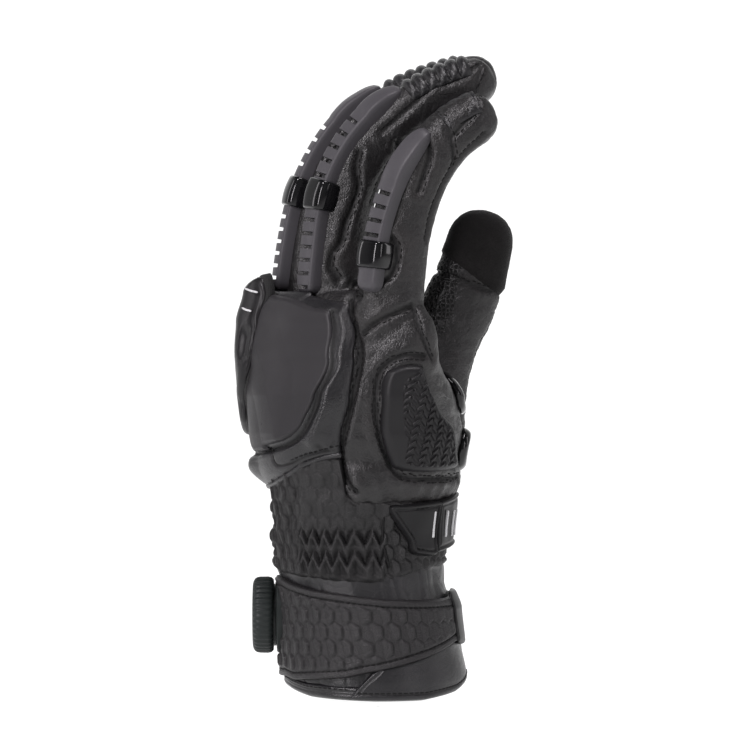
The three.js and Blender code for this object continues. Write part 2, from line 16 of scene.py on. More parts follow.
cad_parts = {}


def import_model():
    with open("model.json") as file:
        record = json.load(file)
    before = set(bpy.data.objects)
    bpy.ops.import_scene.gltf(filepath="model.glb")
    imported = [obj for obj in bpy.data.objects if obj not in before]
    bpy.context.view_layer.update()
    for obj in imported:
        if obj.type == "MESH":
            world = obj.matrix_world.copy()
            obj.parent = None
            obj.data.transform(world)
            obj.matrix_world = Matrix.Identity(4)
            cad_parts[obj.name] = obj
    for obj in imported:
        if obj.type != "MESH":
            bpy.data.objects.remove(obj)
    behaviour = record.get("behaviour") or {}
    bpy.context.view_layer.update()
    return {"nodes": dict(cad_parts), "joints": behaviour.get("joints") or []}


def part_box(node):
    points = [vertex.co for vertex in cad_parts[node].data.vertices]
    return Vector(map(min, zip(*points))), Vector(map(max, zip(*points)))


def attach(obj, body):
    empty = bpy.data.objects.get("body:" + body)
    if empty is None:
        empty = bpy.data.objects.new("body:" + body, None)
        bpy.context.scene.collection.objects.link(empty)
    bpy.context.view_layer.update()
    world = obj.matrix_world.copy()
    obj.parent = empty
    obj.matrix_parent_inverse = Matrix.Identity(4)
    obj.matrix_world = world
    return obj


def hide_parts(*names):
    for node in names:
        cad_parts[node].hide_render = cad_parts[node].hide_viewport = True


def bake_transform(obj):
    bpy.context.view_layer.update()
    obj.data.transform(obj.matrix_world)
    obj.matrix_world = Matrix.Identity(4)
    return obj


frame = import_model()

MM = 0.001
FLANGE_X = -40.6  # design x of the reel flange's outer face
REEL_Z = 36.5  # height of the reel's axis
flange_low, flange_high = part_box("reel_flange")
SHIFT = np.array([flange_low.x / MM - FLANGE_X, (flange_low.y + flange_high.y) / 2 / MM, 0.0])


def to_frame(points):
    """Points in millimetres of the design frame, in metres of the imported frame."""
    return (np.asarray(points, float).reshape(-1, 3) + SHIFT) * MM


# ---------------------------------------------------------------- driving dimensions, as in the frame

HAND_TOP = 166.0
SECTION_POWER = 2.3  # the hand's section is a superellipse of this power
SECTIONS = np.array([  # z, centre x, half depth, half breadth, bow of the little side, bow of the index side
    [0, -1, 34, 46, 0, 0],
    [12, -1.5, 35.5, 45, 0, 0],
    [25, -2.7, 34.3, 43, 0, 0],
    [40, -3.7, 33.8, 41, 0, 0],
    [50, -6, 32.5, 39.5, 0, 0],
    [58, -7.5, 33.7, 38.8, 0, 0],
    [70, -8, 34.5, 38.5, 0, 0],
    [85, -7, 35, 40, 0, 0],
    [97, -6, 38, 43, 0, 0],
    [110, -6, 40, 46, 2, 0],
    [125, -8, 39, 48, 8, 2],
    [140, -12, 34, 48.5, 20, 5],
    [155, -17, 27, 48, 34, 8],
    [166, -20, 21, 47.5, 43, 10],
], float)

FINGERS = {
    "index": dict(
        y=36, root=12, tip=9.5, breadth=11.6, clip=199, spine_end=234, roll=-6,
        line=[(-20, 150), (-17, 176), (-14, 200), (-7, 219), (4, 232), (15, 239), (28, 245), (42, 249)],
    ),
    "middle": dict(
        y=12, root=12.5, tip=10, breadth=11.6, clip=203, spine_end=239, roll=14,
        line=[(-28, 150), (-25, 180), (-20.5, 203), (-12, 221), (0, 235), (11, 242.5), (24, 248),
              (39, 252.5), (48, 254.5)],
    ),
    "ring": dict(
        y=-12, root=12, tip=9.5, breadth=11.6, clip=202, spine_end=238, roll=34,
        line=[(-18, 150), (-16, 178), (-12.5, 203), (-5, 220), (6, 233), (17, 241), (30, 247.5),
              (46.5, 252.5)],
    ),
    "little": dict(
        y=-36, root=13.6, tip=10, breadth=11.4, clip=179, spine_end=226, roll=50,
        line=[(3, 145), (5.5, 170), (8.5, 190), (15, 209), (24, 223), (34, 231.5), (46, 237.5)],
    ),
}
THUMB_LINE = [(12, 22, 92), (16, 27, 112), (21, 32, 133), (28, 36, 150), (36, 36, 168), (41.5, 34.5, 186),
              (44.5, 33, 200)]
THUMB_WIDE = [21, 20, 17, 15, 15, 13.5, 12]
THUMB_DEEP = [19, 18, 15, 12.5, 12, 11.5, 10]


# ---------------------------------------------------------------- surfaces in the design frame

def signed_power(value, power):
    return np.sign(value) * np.abs(value) ** power


def section(z):
    """Centre x, half depth, half breadth and the two bows of the body at heights z."""
    z = np.asarray(z, float)
    at = np.clip(np.searchsorted(SECTIONS[:, 0], z) - 1, 0, len(SECTIONS) - 2)
    share = np.clip((z - SECTIONS[at, 0]) / (SECTIONS[at + 1, 0] - SECTIONS[at, 0]), 0, 1)
    ease = share * share * (3 - 2 * share) * 0.5 + share * 0.5
    return [SECTIONS[at, c] + (SECTIONS[at + 1, c] - SECTIONS[at, c]) * ease for c in range(1, 6)]


def body_point(angle, z, grow=0.0):
    """Points of the body. Angle 0 is the palm, 90 the thumb side, 180 the back, 270 the little side."""
    centre, depth, breadth, bow_little, bow_index = section(z)
    turn = np.radians(angle)
    y = (breadth + grow) * signed_power(np.sin(turn), 2 / SECTION_POWER)
    bow = np.where(y < 0, bow_little, bow_index) * np.minimum(1, np.abs(y) / breadth) ** 2
    x = centre + bow + (depth + grow) * signed_power(np.cos(turn), 2 / SECTION_POWER)
    return np.stack([x, y, np.broadcast_to(z, x.shape)], -1)


def abreast(y, z, angles):
    """The one of the angles at which the body at height z is y to the side."""
    return float(angles[np.argmin(np.abs(body_point(angles, z)[:, 1] - y))])


def back(y, z):
    """(angle, z) of the back of the hand at a side position y."""
    return abreast(y, z, np.linspace(92, 268, 705)), z


def palm(y, z):
    """(angle, z) of the palm at a side position y."""
    return abreast(y, z, np.linspace(-88, 88, 705)) % 360, z


def step(value, low, high):
    """Rises smoothly from 0 at low to 1 at high."""
    share = np.clip((value - low) / (high - low), 0, 1)
    return share * share * (3 - 2 * share)


def bell(value, middle, width):
    """A bell that is 1 at its middle and falls to about a third at width from it."""
    return np.exp(-((value - middle) / width) ** 2)


def length_of(path):
    return np.linalg.norm(np.diff(path, axis=0), axis=1).sum()


def run_of(path):
    """How far along a path each of its points is."""
    return np.r_[0, np.cumsum(np.linalg.norm(np.diff(path, axis=0), axis=1))]


def picked(at, run, values):
    """The values that belong to a run of distances, interpolated at another distance or distances."""
    return np.stack([np.interp(at, run, column) for column in values.T], -1)


def evenly(length, pitch):
    """The middles of equal steps of about pitch along a length."""
    count = max(1, int(length / pitch))
    return [(k + 0.5) * length / count for k in range(count)]


def smooth_line(points, samples, closed=False):
    """A Catmull-Rom curve through the points, sampled evenly by length."""
    p = np.asarray(points, float)
    if closed:
        p = np.vstack([p[-1:], p, p[:2]])
    else:
        p = np.vstack([2 * p[0] - p[1], p, 2 * p[-1] - p[-2]])
    fine = []
    for i in range(len(p) - 3):
        for t in np.linspace(0, 1, 24, endpoint=False):
            a, b, c, d = p[i:i + 4]
            fine.append(0.5 * (2 * b + (c - a) * t + (2 * a - 5 * b + 4 * c - d) * t ** 2
                               + (3 * b - a - 3 * c + d) * t ** 3))
    fine.append(p[-2])
    fine = np.array(fine)
    run = run_of(fine)
    return picked(np.linspace(0, run[-1], samples, endpoint=not closed), run, fine)


class Tube:
    """A finger or thumb: a centre line with a half thickness and half breadth at each share of its length."""

    def __init__(self, points, thick, broad):
        self.points = smooth_line(points, 240)
        self.length = length_of(self.points)
        self.thick, self.broad = thick, broad

    def frame(self, share):
        """Centre, direction, palm-side direction and thumb-side direction at a share of the length."""
        place = np.clip(share, 0, 1) * (len(self.points) - 1)
        rows = np.arange(len(self.points))
        centre = picked(place, rows, self.points)
        along = picked(place, rows, np.gradient(self.points, axis=0))
        along /= np.linalg.norm(along)
        palmar = np.cross((0, 1, 0), along)
        palmar /= np.linalg.norm(palmar)
        return centre, along, palmar, np.cross(along, palmar)

    def point(self, share, roll, lift=0.0, across=0.0):
        """A point on the tube. Roll 0 is the finger's back, 90 its little-finger side, 180 its palm side.

        It is raised by lift, then moved across the surface, towards the thumb on the back of the finger.
        """
        centre, _, palmar, thumbward = self.frame(share)
        turn = math.radians(roll)
        out = -palmar * math.cos(turn) - thumbward * math.sin(turn)
        aside = -palmar * math.sin(turn) + thumbward * math.cos(turn)
        reach = math.hypot(self.thick(share) * math.cos(turn), self.broad(share) * math.sin(turn))
        return centre + out * (reach + lift) + aside * across

    def at_height(self, z):
        shares = np.linspace(0, 1, 400)
        heights = np.interp(shares, np.linspace(0, 1, len(self.points)), self.points[:, 2])
        return float(shares[np.argmin(np.abs(heights - z))])


SLIMMER = 0.5  # the visual fingers are this much narrower each side than the CAD ones


def finger_tube(finger):
    root, tip, breadth = finger["root"], finger["tip"], finger["breadth"]
    return Tube(
        [(x, finger["y"], z) for x, z in finger["line"]],
        lambda share: root + (tip - root) * share ** 1.3,
        lambda share: breadth - 1.2 * share ** 2 - SLIMMER,
    )


def listed(values):
    return lambda share: float(np.interp(share, np.linspace(0, 1, len(values)), values))


tubes = {name: finger_tube(finger) for name, finger in FINGERS.items()}
tubes["thumb"] = Tube(THUMB_LINE, listed(THUMB_WIDE), listed(THUMB_DEEP))


# ---------------------------------------------------------------- meshes

def make_mesh(name, points, faces, material):
    """An object from points in millimetres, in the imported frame."""
    mesh = bpy.data.meshes.new(name)
    mesh.from_pydata(to_frame(points).tolist(), [], [tuple(f) for f in faces])
    mesh.update()
    mesh.shade_smooth()
    piece = bpy.data.objects.new(name, mesh)
    bpy.context.scene.collection.objects.link(piece)
    if material is not None:
        mesh.materials.append(material)
    return piece


def grid_faces(rows, columns, looped=False):
    """Quads of closed rings of points, ring after ring. Looped joins the last ring to the first."""
    faces = []
    for r in range(rows if looped else rows - 1):
        this, after = r * columns, (r + 1) % rows * columns
        for c in range(columns):
            n = (c + 1) % columns
            faces.append((this + c, this + n, after + n, after + c))
    return faces


FINGER_POWER = 2.5  # powers of the superellipses of a finger's section and its tip
TIP_POWER = 2.2


def tube_solid(tube):
    """Closed rings of a finger: slightly square in section, with a round tip."""
    tip = tube.thick(1) / tube.length
    solid = []
    round_start = 1 - tip
    stations = list(np.linspace(0, round_start, 50))
    stations += [round_start + tip * math.sin(math.radians(a)) for a in range(8, 90, 9)]
    turn = np.linspace(0, 2 * np.pi, 40, endpoint=False)
    deep, wide = (signed_power(wave(turn), 2 / FINGER_POWER) for wave in (np.cos, np.sin))
    for share in stations:
        centre, _, palmar, thumbward = tube.frame(share)
        fall = (1 - max(0.0, (share - round_start) / tip) ** TIP_POWER) ** (1 / TIP_POWER)
        solid.append(centre + np.outer(deep * tube.thick(share) * fall, palmar)
                     + np.outer(wide * tube.broad(share) * fall, thumbward))
    return solid


def close_rings(rings):
    """Points and faces of a closed solid through rings of points."""
    count = len(rings[0])
    last = (len(rings) - 1) * count
    faces = grid_faces(len(rings), count)
    faces.append(tuple(reversed(range(count))))
    faces.append(tuple(last + i for i in range(count)))
    return np.vstack(rings), faces


def joined(parts):
    """Points and faces of several parts, given as (points, faces) pairs, in one."""
    faces = []
    start = 0
    for points, part_faces in parts:
        faces += [tuple(i + start for i in f) for f in part_faces]
        start += len(points)
    return np.vstack([points for points, _ in parts]), faces


def evaluated(piece):
    """The piece's points (mm, design frame) and faces with its modifiers applied."""
    graph = bpy.context.evaluated_depsgraph_get()
    mesh = bpy.data.meshes.new_from_object(piece.evaluated_get(graph))
    points = np.zeros(len(mesh.vertices) * 3)
    mesh.vertices.foreach_get("co", points)
    faces = [tuple(p.vertices) for p in mesh.polygons]
    bpy.data.meshes.remove(mesh)
    return points.reshape(-1, 3) / MM - SHIFT, faces


def remove(piece):
    mesh = piece.data
    bpy.data.objects.remove(piece)
    bpy.data.meshes.remove(mesh)


def mark_shaded_hollows(piece, values):
    """Stores how deep each point lies in a hollow, from 0 to 1. Leather gets painted shade there: its colour
    is darker, and it is duller.
    """
    hollow = piece.data.attributes.new("hollow", "FLOAT", "POINT")
    hollow.data.foreach_set("value", np.clip(values, 0, 1).astype(np.float32))


def below_surroundings(heights, reach):
    """How far each height of a grid lies below the mean of its neighbours, in millimetres."""
    total = np.zeros_like(heights)
    count = 0
    for rows in range(-reach, reach + 1):
        for columns in range(-reach, reach + 1):
            total += np.roll(np.roll(heights, rows, axis=0), columns, axis=1)
            count += 1
    return total / count - heights


def normals_of(points, faces):
    """Area-weighted vertex normals."""
    quads = np.array([f if len(f) == 4 else (*f, f[2]) for f in faces])
    a, b, c, d = (points[quads[:, k]] for k in range(4))
    flat = np.cross(c - a, d - b)
    normals = np.zeros_like(points)
    for k in range(4):
        np.add.at(normals, quads[:, k], flat)
    return normals / np.maximum(np.linalg.norm(normals, axis=1, keepdims=True), 1e-9)


# ---------------------------------------------------------------- the leather skin

EYE = np.array([-1.2, -1600.0, 133.0])  # where the glove is looked at from
VOXEL = 0.9
ROLL_FOOT = 79.0
ROLL_TOP = 99.0


def heel_roll(angle, z):
    """The roll at the heel of the hand, the skin tucked under the wrist elsewhere, and the webs drawn in."""
    turn = (angle - 255) % 360
    on_roll = step(turn, 0, 14) * (1 - step(turn, 150, 190))
    up = np.clip((z - ROLL_FOOT) / (ROLL_TOP - ROLL_FOOT), 0, 1)
    under = 1.6 * (1 - up) ** 3 + 1.4 * np.clip((ROLL_FOOT - z) / 2, 0, 1)
    web = np.clip((z - 146) / (HAND_TOP - 146), 0, 1)
    roll = 3.6 * np.sin(np.pi * up ** 0.8) - under
    tuck = 3 * (1 - step(z, 92, 104))
    return on_roll * roll - (1 - on_roll) * tuck - 8 * web ** 2


def body_rings():
    angles = np.linspace(0, 360, 144, endpoint=False)
    return [body_point(angles, z, heel_roll(angles, z)) for z in np.arange(75, HAND_TOP + 0.5, 1.6)]


def make_skin():
    """One skin over hand, fingers and thumb: lofts joined by a voxel remesh and relaxed."""
    lofts = [body_rings()] + [tube_solid(tube) for tube in tubes.values()]
    piece = make_mesh("skin_source", *joined([close_rings(rings) for rings in lofts]), None)
    remesh = piece.modifiers.new("join", "REMESH")
    remesh.mode = "VOXEL"
    remesh.voxel_size = VOXEL * MM
    relax = piece.modifiers.new("relax", "SMOOTH")
    relax.iterations = 10
    relax.factor = 0.6
    found = evaluated(piece)
    remove(piece)
    return found


skin, skin_faces = make_skin()
skin_tree = BVHTree.FromPolygons(skin.tolist(), skin_faces)


def seen(x, z):
    """The point of the skin that shows at x, z from the little-finger side."""
    start = Vector(EYE)
    hit = skin_tree.ray_cast(start, (Vector((x, 0, z)) - start).normalized())
    if hit[0] is None:
        found = skin_tree.find_nearest(Vector((x, -45, z)))
        return np.array(found[0])
    return np.array(hit[0])


def onto_skin(points, lift=0.0):
    """The nearest skin points, lifted along the skin's normals."""
    out = []
    for p in np.asarray(points):
        place, normal, _, _ = skin_tree.find_nearest(Vector(p))
        out.append(place + normal * lift)
    return np.array(out)


def wandering(points, scale, seed):
    """Smooth noise from -1 to 1 at each point, with lumps about scale millimetres across."""
    offset = Vector((seed * 17.3, seed * 5.1, seed * 9.7))
    return np.array([noise.noise(Vector(p) / scale + offset) for p in points])


# ---------------------------------------------------------------- seams and their stitches

GROOVE_WIDTH = 1.05
PUFF_FROM_SEAM = 3.2
PUFF_WIDTH = 1.8
FINGERS_FROM = (158, 176)  # heights where the hand's loose leather turns into the fingers' taut leather
seams = []  # (points on the skin, groove depth, stitch offsets from the seam line)


def seam(points, depth, rows):
    """Records a seam that runs through points of the skin, with rows of stitches beside it."""
    seams.append((onto_skin(smooth_line(points, max(6, int(length_of(points) / 0.7)))), depth, rows))


def seen_seam(spots, depth=0.7, rows=(1.3,)):
    seam([seen(x, z) for x, z in spots], depth, rows)


def body_seam(spots, depth, rows=(1.3,)):
    seam([body_point(np.array([a]), z, 1)[0] for a, z in spots], depth, rows)


def finger_seam(name, spots, depth=0.6, rows=(1.2,)):
    """A seam through (share of the finger's length, roll) spots."""
    seam([tubes[name].point(share, roll, 1) for share, roll in spots], depth, rows)


def little_side_seams():
    """Seams that show from the little-finger side."""
    # double seam from the web to the heel, and on round the bottom of the heel roll
    seen_seam([(-11.5, 163), (-8.6, 150), (-7.2, 140), (-9, 130), (-11, 120.5), (-13.6, 109.5), (-15, 103),
               (-14.6, 97), (-12.8, 90.5), (-8.5, 85.5)], 0.9, (1.2, -1.2))
    seen_seam([(-6.6, 149.7), (-1.2, 153.9), (5.6, 157.4), (13.8, 160.8)], 0.9, (-1.4,))
    seen_seam([(14.4, 159.9), (16.2, 153.1), (18.8, 146.2), (21.6, 139.4)])
    # border of the heel pad
    seen_seam([(19, 140.6), (11.6, 141), (4.6, 138.2), (0, 132.5), (-1, 122.2), (0, 112), (3.2, 101.7),
               (8, 93.6), (15, 91.2), (25, 91.2), (32.5, 92.4)], 0.8, (-1.3, 1.5))
    # little finger: two seams at the tip, the window round the spine's end, the clip's recess
    seen_seam([(22.6, 238.2), (27.2, 235.2), (29.6, 228), (30.6, 220.2), (31.4, 213)])
    seen_seam([(39.6, 243), (38.4, 238.2), (34.2, 233.9), (30.6, 229.7)])
    seen_seam([(8.6, 224), (12.8, 228), (18.8, 227.6), (20.8, 222), (18.8, 214.2), (16.4, 207)], 0.9)
    seen_seam([(5.2, 188.4), (7.6, 184.5), (7.4, 178), (4.4, 172.4), (-1.4, 170)], 0.9)
    seen_seam([(-8.6, 163), (-7, 166), (-8.4, 170)], 0.8)
    # ring finger: side seam, web seam, fingertip panel
    seen_seam([(-7.6, 223), (-8.6, 216), (-7.6, 209), (-9.7, 202.2), (-12.9, 193.7), (-14.6, 186.8),
               (-17.4, 183)], 0.9)
    seen_seam([(-18.4, 181.7), (-18.9, 176.5), (-15.6, 171.4)], 0.8)
    seen_seam([(1.6, 230.5), (6.6, 235), (12, 239.8), (17.4, 244.6), (21.6, 249)], 0.45)
    seen_seam([(21, 250.6), (27, 250.2), (35, 253.4), (41.8, 256.8), (45, 259)], 0.45, (1.2,))


def far_side_seams():
    """Seams that the little-finger side hides: between the fingers, round the thumb and over the palm."""
    for name in ("index", "middle", "ring"):
        finger_seam(name, [(0.42, -62), (0.55, -58), (0.7, -60), (0.85, -64), (0.95, -78)])
    for name in ("index", "middle", "ring", "little"):
        finger_seam(name, [(0.4, 150), (0.52, 146), (0.66, 146), (0.8, 144), (0.93, 132)])
        finger_seam(name, [(0.4, -150), (0.52, -146), (0.66, -146), (0.8, -144), (0.93, -132)])
    for name in ("index", "middle"):
        finger_seam(name, [(0.42, 62), (0.55, 58), (0.7, 60), (0.85, 64), (0.95, 78)])
    # index finger's outer side: window round the spine's end
    finger_seam("index", [(0.5, -44), (0.6, -36), (0.7, -28), (0.745, 0), (0.7, 24), (0.6, 32)], 0.9)
    # palm: round the thumb's root and across below the fingers
    body_seam([palm(-30, 150), palm(-14, 153), palm(0, 154), palm(14, 153), palm(26, 150)], 0.8)
    body_seam([palm(14, 96), palm(10, 108), palm(9, 122), palm(12, 136), palm(20, 146)], 0.9, (1.3, -1.3))
    body_seam([(92, 96), (96, 110), (100, 124), (104, 138), (106, 150)], 0.9, (1.3, -1.3))
    # thumb: suede cap, mesh insert, two long side seams
    finger_seam("thumb", [(0.74, roll) for roll in range(-40, 330, 30)], 0.7, (1.3,))
    finger_seam("thumb", [(0.3, 10), (0.45, 14), (0.6, 12), (0.72, 4)])
    finger_seam("thumb", [(0.3, 170), (0.45, 168), (0.6, 170), (0.72, 176)])


little_side_seams()
far_side_seams()


def groove(points):
    """How deep the seams pull each point in, with the leather puffed up a little beside them."""
    tree = KDTree(sum(len(line) for line, _, _ in seams))
    depths = []
    for line, depth, _ in seams:
        for p in line:
            tree.insert(Vector(p), len(depths))
            depths.append(depth)
    tree.balance()
    found = [tree.find(Vector(p)) for p in points]
    gap = np.array([distance for _, _, distance in found])
    depth = np.array([depths[index] for _, index, _ in found])
    return depth * (0.45 * bell(gap, PUFF_FROM_SEAM, PUFF_WIDTH) - 1.5 * bell(gap, 0, GROOVE_WIDTH))


def creases(points):
    """Wrinkles of worn leather: long soft folds across the hand and fine ones over them."""
    stretched = points * (1.0, 1.0, 2.2)
    folds = wandering(stretched, 9, 1)
    fine = 1 - np.abs(wandering(stretched + 3 * folds[:, None], 3.4, 2)) * 2
    broad = wandering(points, 16, 3)
    taut = 1 - 0.55 * step(points[:, 2], *FINGERS_FROM)
    return taut * (0.42 * folds + 0.55 * broad) - 0.24 * np.clip(fine, 0, 1) ** 3


def heel_folds(points):
    """Gathers of the heel roll, which run down over it."""
    height = np.clip(1 - np.abs(points[:, 2] - 88) / 9, 0, 1)
    around = np.degrees(np.arctan2(points[:, 1], points[:, 0] + 6))
    wave = np.sin(np.radians(around) * 34 + 2.2 * wandering(points, 12, 4))
    return height * wave * 0.5 * np.clip((points[:, 0] + 14) / 12, 0, 1)


skin_normals = normals_of(skin, skin_faces)
drawn_in = groove(skin)
swell = creases(skin) + heel_folds(skin) + drawn_in
skin = skin + skin_normals * swell[:, None]
skin_normals = normals_of(skin, skin_faces)
skin_tree = BVHTree.FromPolygons(skin.tolist(), skin_faces)


# ---------------------------------------------------------------- which region each point of the skin belongs to

class Bend:
    """A joint of a finger, from model.json: its pivot, the bodies on either side, and a stretch round the
    pivot. Skin past the stretch's start goes to the next piece; apply() only bakes a piece's transform.
    """

    def __init__(self, name, joint, parent, child, before, after):
        record = next(j for j in frame["joints"] if j["name"] == joint)
        self.parent, self.child = parent, child
        self.pivot = np.array(record["pos_m"]) / MM - SHIFT
        tube = tubes[name]
        share = tube.at_height(self.pivot[2])
        along = tube.frame(share)[1]
        self.start = self.pivot - along * before
        self.end = self.pivot + along * after
        self.along = along

    def past(self, points):
        """True for points past the start of the bend."""
        return (points - self.start) @ self.along > 0

    def apply(self, piece):
        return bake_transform(piece)


KNUCKLE_BEFORE = {"index": 8, "middle": 10, "ring": 8, "little": 1}
lower_bends = {
    name: Bend(name, f"{name}_knuckle", "hand", f"{name}_prox", before, 12)
    for name, before in KNUCKLE_BEFORE.items()
}
upper_bends = {name: Bend(name, f"{name}_bend", f"{name}_prox", f"{name}_dist", 8, 8) for name in FINGERS}
lower_bends["thumb"] = Bend("thumb", "thumb_base", "hand", "thumb_prox", 3, 5)
upper_bends["thumb"] = Bend("thumb", "thumb_bend", "thumb_prox", "thumb_dist", 5, 6)
THUMB_CLEAR_X = 14.0  # the thumb stands free of the palm beyond this x


def regions(points):
    """For each point: "hand", or the name of a finger with lower or upper, as on its skin pieces."""
    points = np.asarray(points)
    found = np.full(len(points), "hand", dtype=object)
    nearest = np.full(len(points), 1e9)
    owner = np.full(len(points), "", dtype=object)
    for name, tube in tubes.items():
        for centre in tube.points[::4]:
            gap = ((points - centre) ** 2).sum(1)
            closer = gap < nearest
            nearest[closer] = gap[closer]
            owner[closer] = name
    for name in tubes:
        mine = (owner == name) & lower_bends[name].past(points)
        if name == "thumb":
            mine &= points[:, 0] > THUMB_CLEAR_X
        found[mine] = f"{name}_lower"
        found[mine & upper_bends[name].past(points)] = f"{name}_upper"
    return found


def follow(piece, region):
    """Attaches a piece of the hand's region to the hand's body. For a finger's region it only bakes the
    piece's transform.
    """
    if region == "hand":
        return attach(piece, "hand")
    name, part = region.split("_")
    return (lower_bends if part == "lower" else upper_bends)[name].apply(piece)


# ---------------------------------------------------------------- materials

class Nodes:
    """A short way to write a material's node tree."""

    def __init__(self, name, color, rough):
        self.material = bpy.data.materials.new(name)
        self.material.use_nodes = True
        self.tree = self.material.node_tree
        self.shader = self.tree.nodes["Principled BSDF"]
        self.place = self.add("ShaderNodeTexCoord").outputs["Object"]
        self.normal = None
        self.set("Base Color", (*color, 1))
        self.set("Roughness", rough)

    def add(self, kind, **inputs):
        node = self.tree.nodes.new(kind)
        for socket, value in inputs.items():
            self.give(node.inputs[socket.replace("_", " ")], value)
        return node

    def give(self, socket, value):
        if isinstance(value, bpy.types.NodeSocket):
            self.tree.links.new(value, socket)
        else:
            socket.default_value = value

    def set(self, name, value):
        self.give(self.shader.inputs[name], value)

    def hollow(self):
        # the depth in a hollow, which leather turns into painted shade
        node = self.add("ShaderNodeAttribute")
        node.attribute_name = "hollow"
        return node.outputs["Fac"]

    def noise(self, scale, detail=3.0, rough=0.55, stretch=None):
        return self.add("ShaderNodeTexNoise", Scale=scale, Detail=detail, Roughness=rough,
                        Vector=self.stretched(stretch)).outputs["Fac"]

    def cells(self, scale, stretch=None, jitter=1.0):
        """How far each place is from the edge of its cell."""
        place = self.stretched(stretch)
        node = self.add("ShaderNodeTexVoronoi", Scale=scale, Randomness=jitter, Vector=place)
        node.feature = "DISTANCE_TO_EDGE"
        return node.outputs["Distance"]

    def wave(self, scale, axis, distortion):
        node = self.add("ShaderNodeTexWave", Scale=scale, Distortion=distortion, Vector=self.place)
        node.bands_direction = axis
        return node.outputs["Fac"]

    def stretched(self, stretch):
        if stretch is None:
            return self.place
        return self.add("ShaderNodeMapping", Scale=stretch, Vector=self.place).outputs["Vector"]

    def ramp(self, value, low, high, to_low=0.0, to_high=1.0):
        return self.add("ShaderNodeMapRange", Value=value, From_Min=low, From_Max=high, To_Min=to_low,
                        To_Max=to_high).outputs["Result"]

    def math(self, operation, a, b):
        node = self.add("ShaderNodeMath")
        node.operation = operation
        self.give(node.inputs[0], a)
        self.give(node.inputs[1], b)
        return node.outputs[0]

    def mix(self, amount, first, second):
        node = self.add("ShaderNodeMix")
        node.data_type = "RGBA"
        self.give(node.inputs[0], amount)
        self.give(node.inputs[6], (*first, 1) if isinstance(first, tuple) else first)
        self.give(node.inputs[7], (*second, 1) if isinstance(second, tuple) else second)
        return node.outputs[2]

    def bump(self, height, strength, distance):
        """Adds a layer of relief. Distance is in metres."""
        node = self.add("ShaderNodeBump", Strength=strength, Distance=distance)
        self.give(node.inputs["Height"], height)
        if self.normal is not None:
            self.give(node.inputs["Normal"], self.normal)
        self.normal = node.outputs["Normal"]
        self.set("Normal", self.normal)


def toned(color, share):
    """A color made darker or lighter."""
    return tuple(c * share for c in color)


# painted shade: the near-black colour that leather takes in its hollows
HOLLOW_SHADE_COLOR = (0.0015, 0.0014, 0.0016)


def leather(name, color, rough, worn, grain=950, relief=0.32):
    """Grained leather: pebbles with fine creases, patchy gloss, a browner tone where it is worn, and painted
    shade in its hollows.
    """
    m = Nodes(name, color, rough)
    pebbles = m.cells(grain)
    fine = m.noise(2600, 4)
    patches = m.noise(38, 3)
    veins = m.cells(170, stretch=(1.0, 1.0, 1.6))
    m.bump(m.ramp(veins, 0.0, 0.12), 0.4 * relief, 0.0006)
    m.bump(m.ramp(pebbles, 0.0, 0.22), 0.8 * relief, 0.0003)
    m.bump(fine, 0.45 * relief, 0.00015)
    shade = m.mix(m.ramp(patches, 0.52, 0.72, 0, 0.35), color, worn)
    pores = m.mix(m.ramp(pebbles, 0.0, 0.1, 0.35, 0), shade, toned(color, 0.45))
    # painted shade: the colour darkens towards near black the deeper a point lies in a hollow
    hollow = m.hollow()
    m.set("Base Color", m.mix(hollow, pores, HOLLOW_SHADE_COLOR))
    gloss = m.math("ADD", m.ramp(patches, 0.3, 0.7, rough - 0.07, rough + 0.08),
                   m.ramp(fine, 0.3, 0.7, -0.05, 0.05))
    m.set("Roughness", m.math("ADD", gloss, m.ramp(hollow, 0, 1, 0, 0.4)))
    m.set("Specular IOR Level", 0.42)
    return m.material


def moulded(name, color, rough, relief, grain=1800, scuffs=0.15):
    """Moulded rubber or plastic: spark-eroded grain, faint clouds and pale scuffs."""
    m = Nodes(name, color, rough)
    clouds = m.noise(60, 4)
    spark = m.noise(grain, 2)
    scratch = m.noise(90, 5, 0.7, stretch=(1, 1, 7))
    m.bump(spark, 0.35 * relief, 0.00012)
    m.bump(clouds, 0.15 * relief, 0.0005)
    pale = tuple(min(1, c * 1.6 + 0.006) for c in color)
    tone = m.mix(m.ramp(clouds, 0.35, 0.7, 0, 0.35), color, toned(color, 0.78))
    m.set("Base Color", m.mix(m.ramp(scratch, 0.66, 0.74, 0, scuffs), tone, pale))
    m.set("Roughness", m.math("ADD", m.ramp(clouds, 0.3, 0.7, rough - 0.05, rough + 0.06),
                              m.ramp(spark, 0.3, 0.7, -0.04, 0.04)))
    m.set("Specular IOR Level", 0.3)
    m.set("IOR", 1.42)
    return m.material


def polished(name, color, rough):
    """Polished plastic with very light swirls."""
    m = Nodes(name, color, rough)
    clouds = m.noise(140, 3)
    m.bump(clouds, 0.06, 0.0003)
    m.set("Base Color", m.mix(m.ramp(clouds, 0.3, 0.7), color, toned(color, 1.6)))
    m.set("Roughness", m.ramp(m.noise(420, 4), 0.3, 0.75, rough, rough + 0.1))
    m.set("IOR", 1.32)
    m.set("Coat Weight", 0.5)
    m.set("Coat IOR", 1.3)
    m.set("Coat Roughness", 0.03)
    return m.material


def woven(name, color, ribs):
    """Knitted or woven cloth: two crossing sets of ribs with a little fuzz."""
    m = Nodes(name, color, 0.9)
    cloth = m.math("MAXIMUM", m.wave(ribs, "X", 1.2), m.wave(ribs, "Z", 1.2))
    m.bump(cloth, 0.48, 0.00025)
    m.bump(m.noise(3000, 3), 0.24, 0.0001)
    m.set("Base Color", m.mix(m.ramp(cloth, 0.2, 0.9), toned(color, 0.5), color))
    m.set("Sheen Weight", 0.1)
    m.set("Sheen Roughness", 0.4)
    return m.material


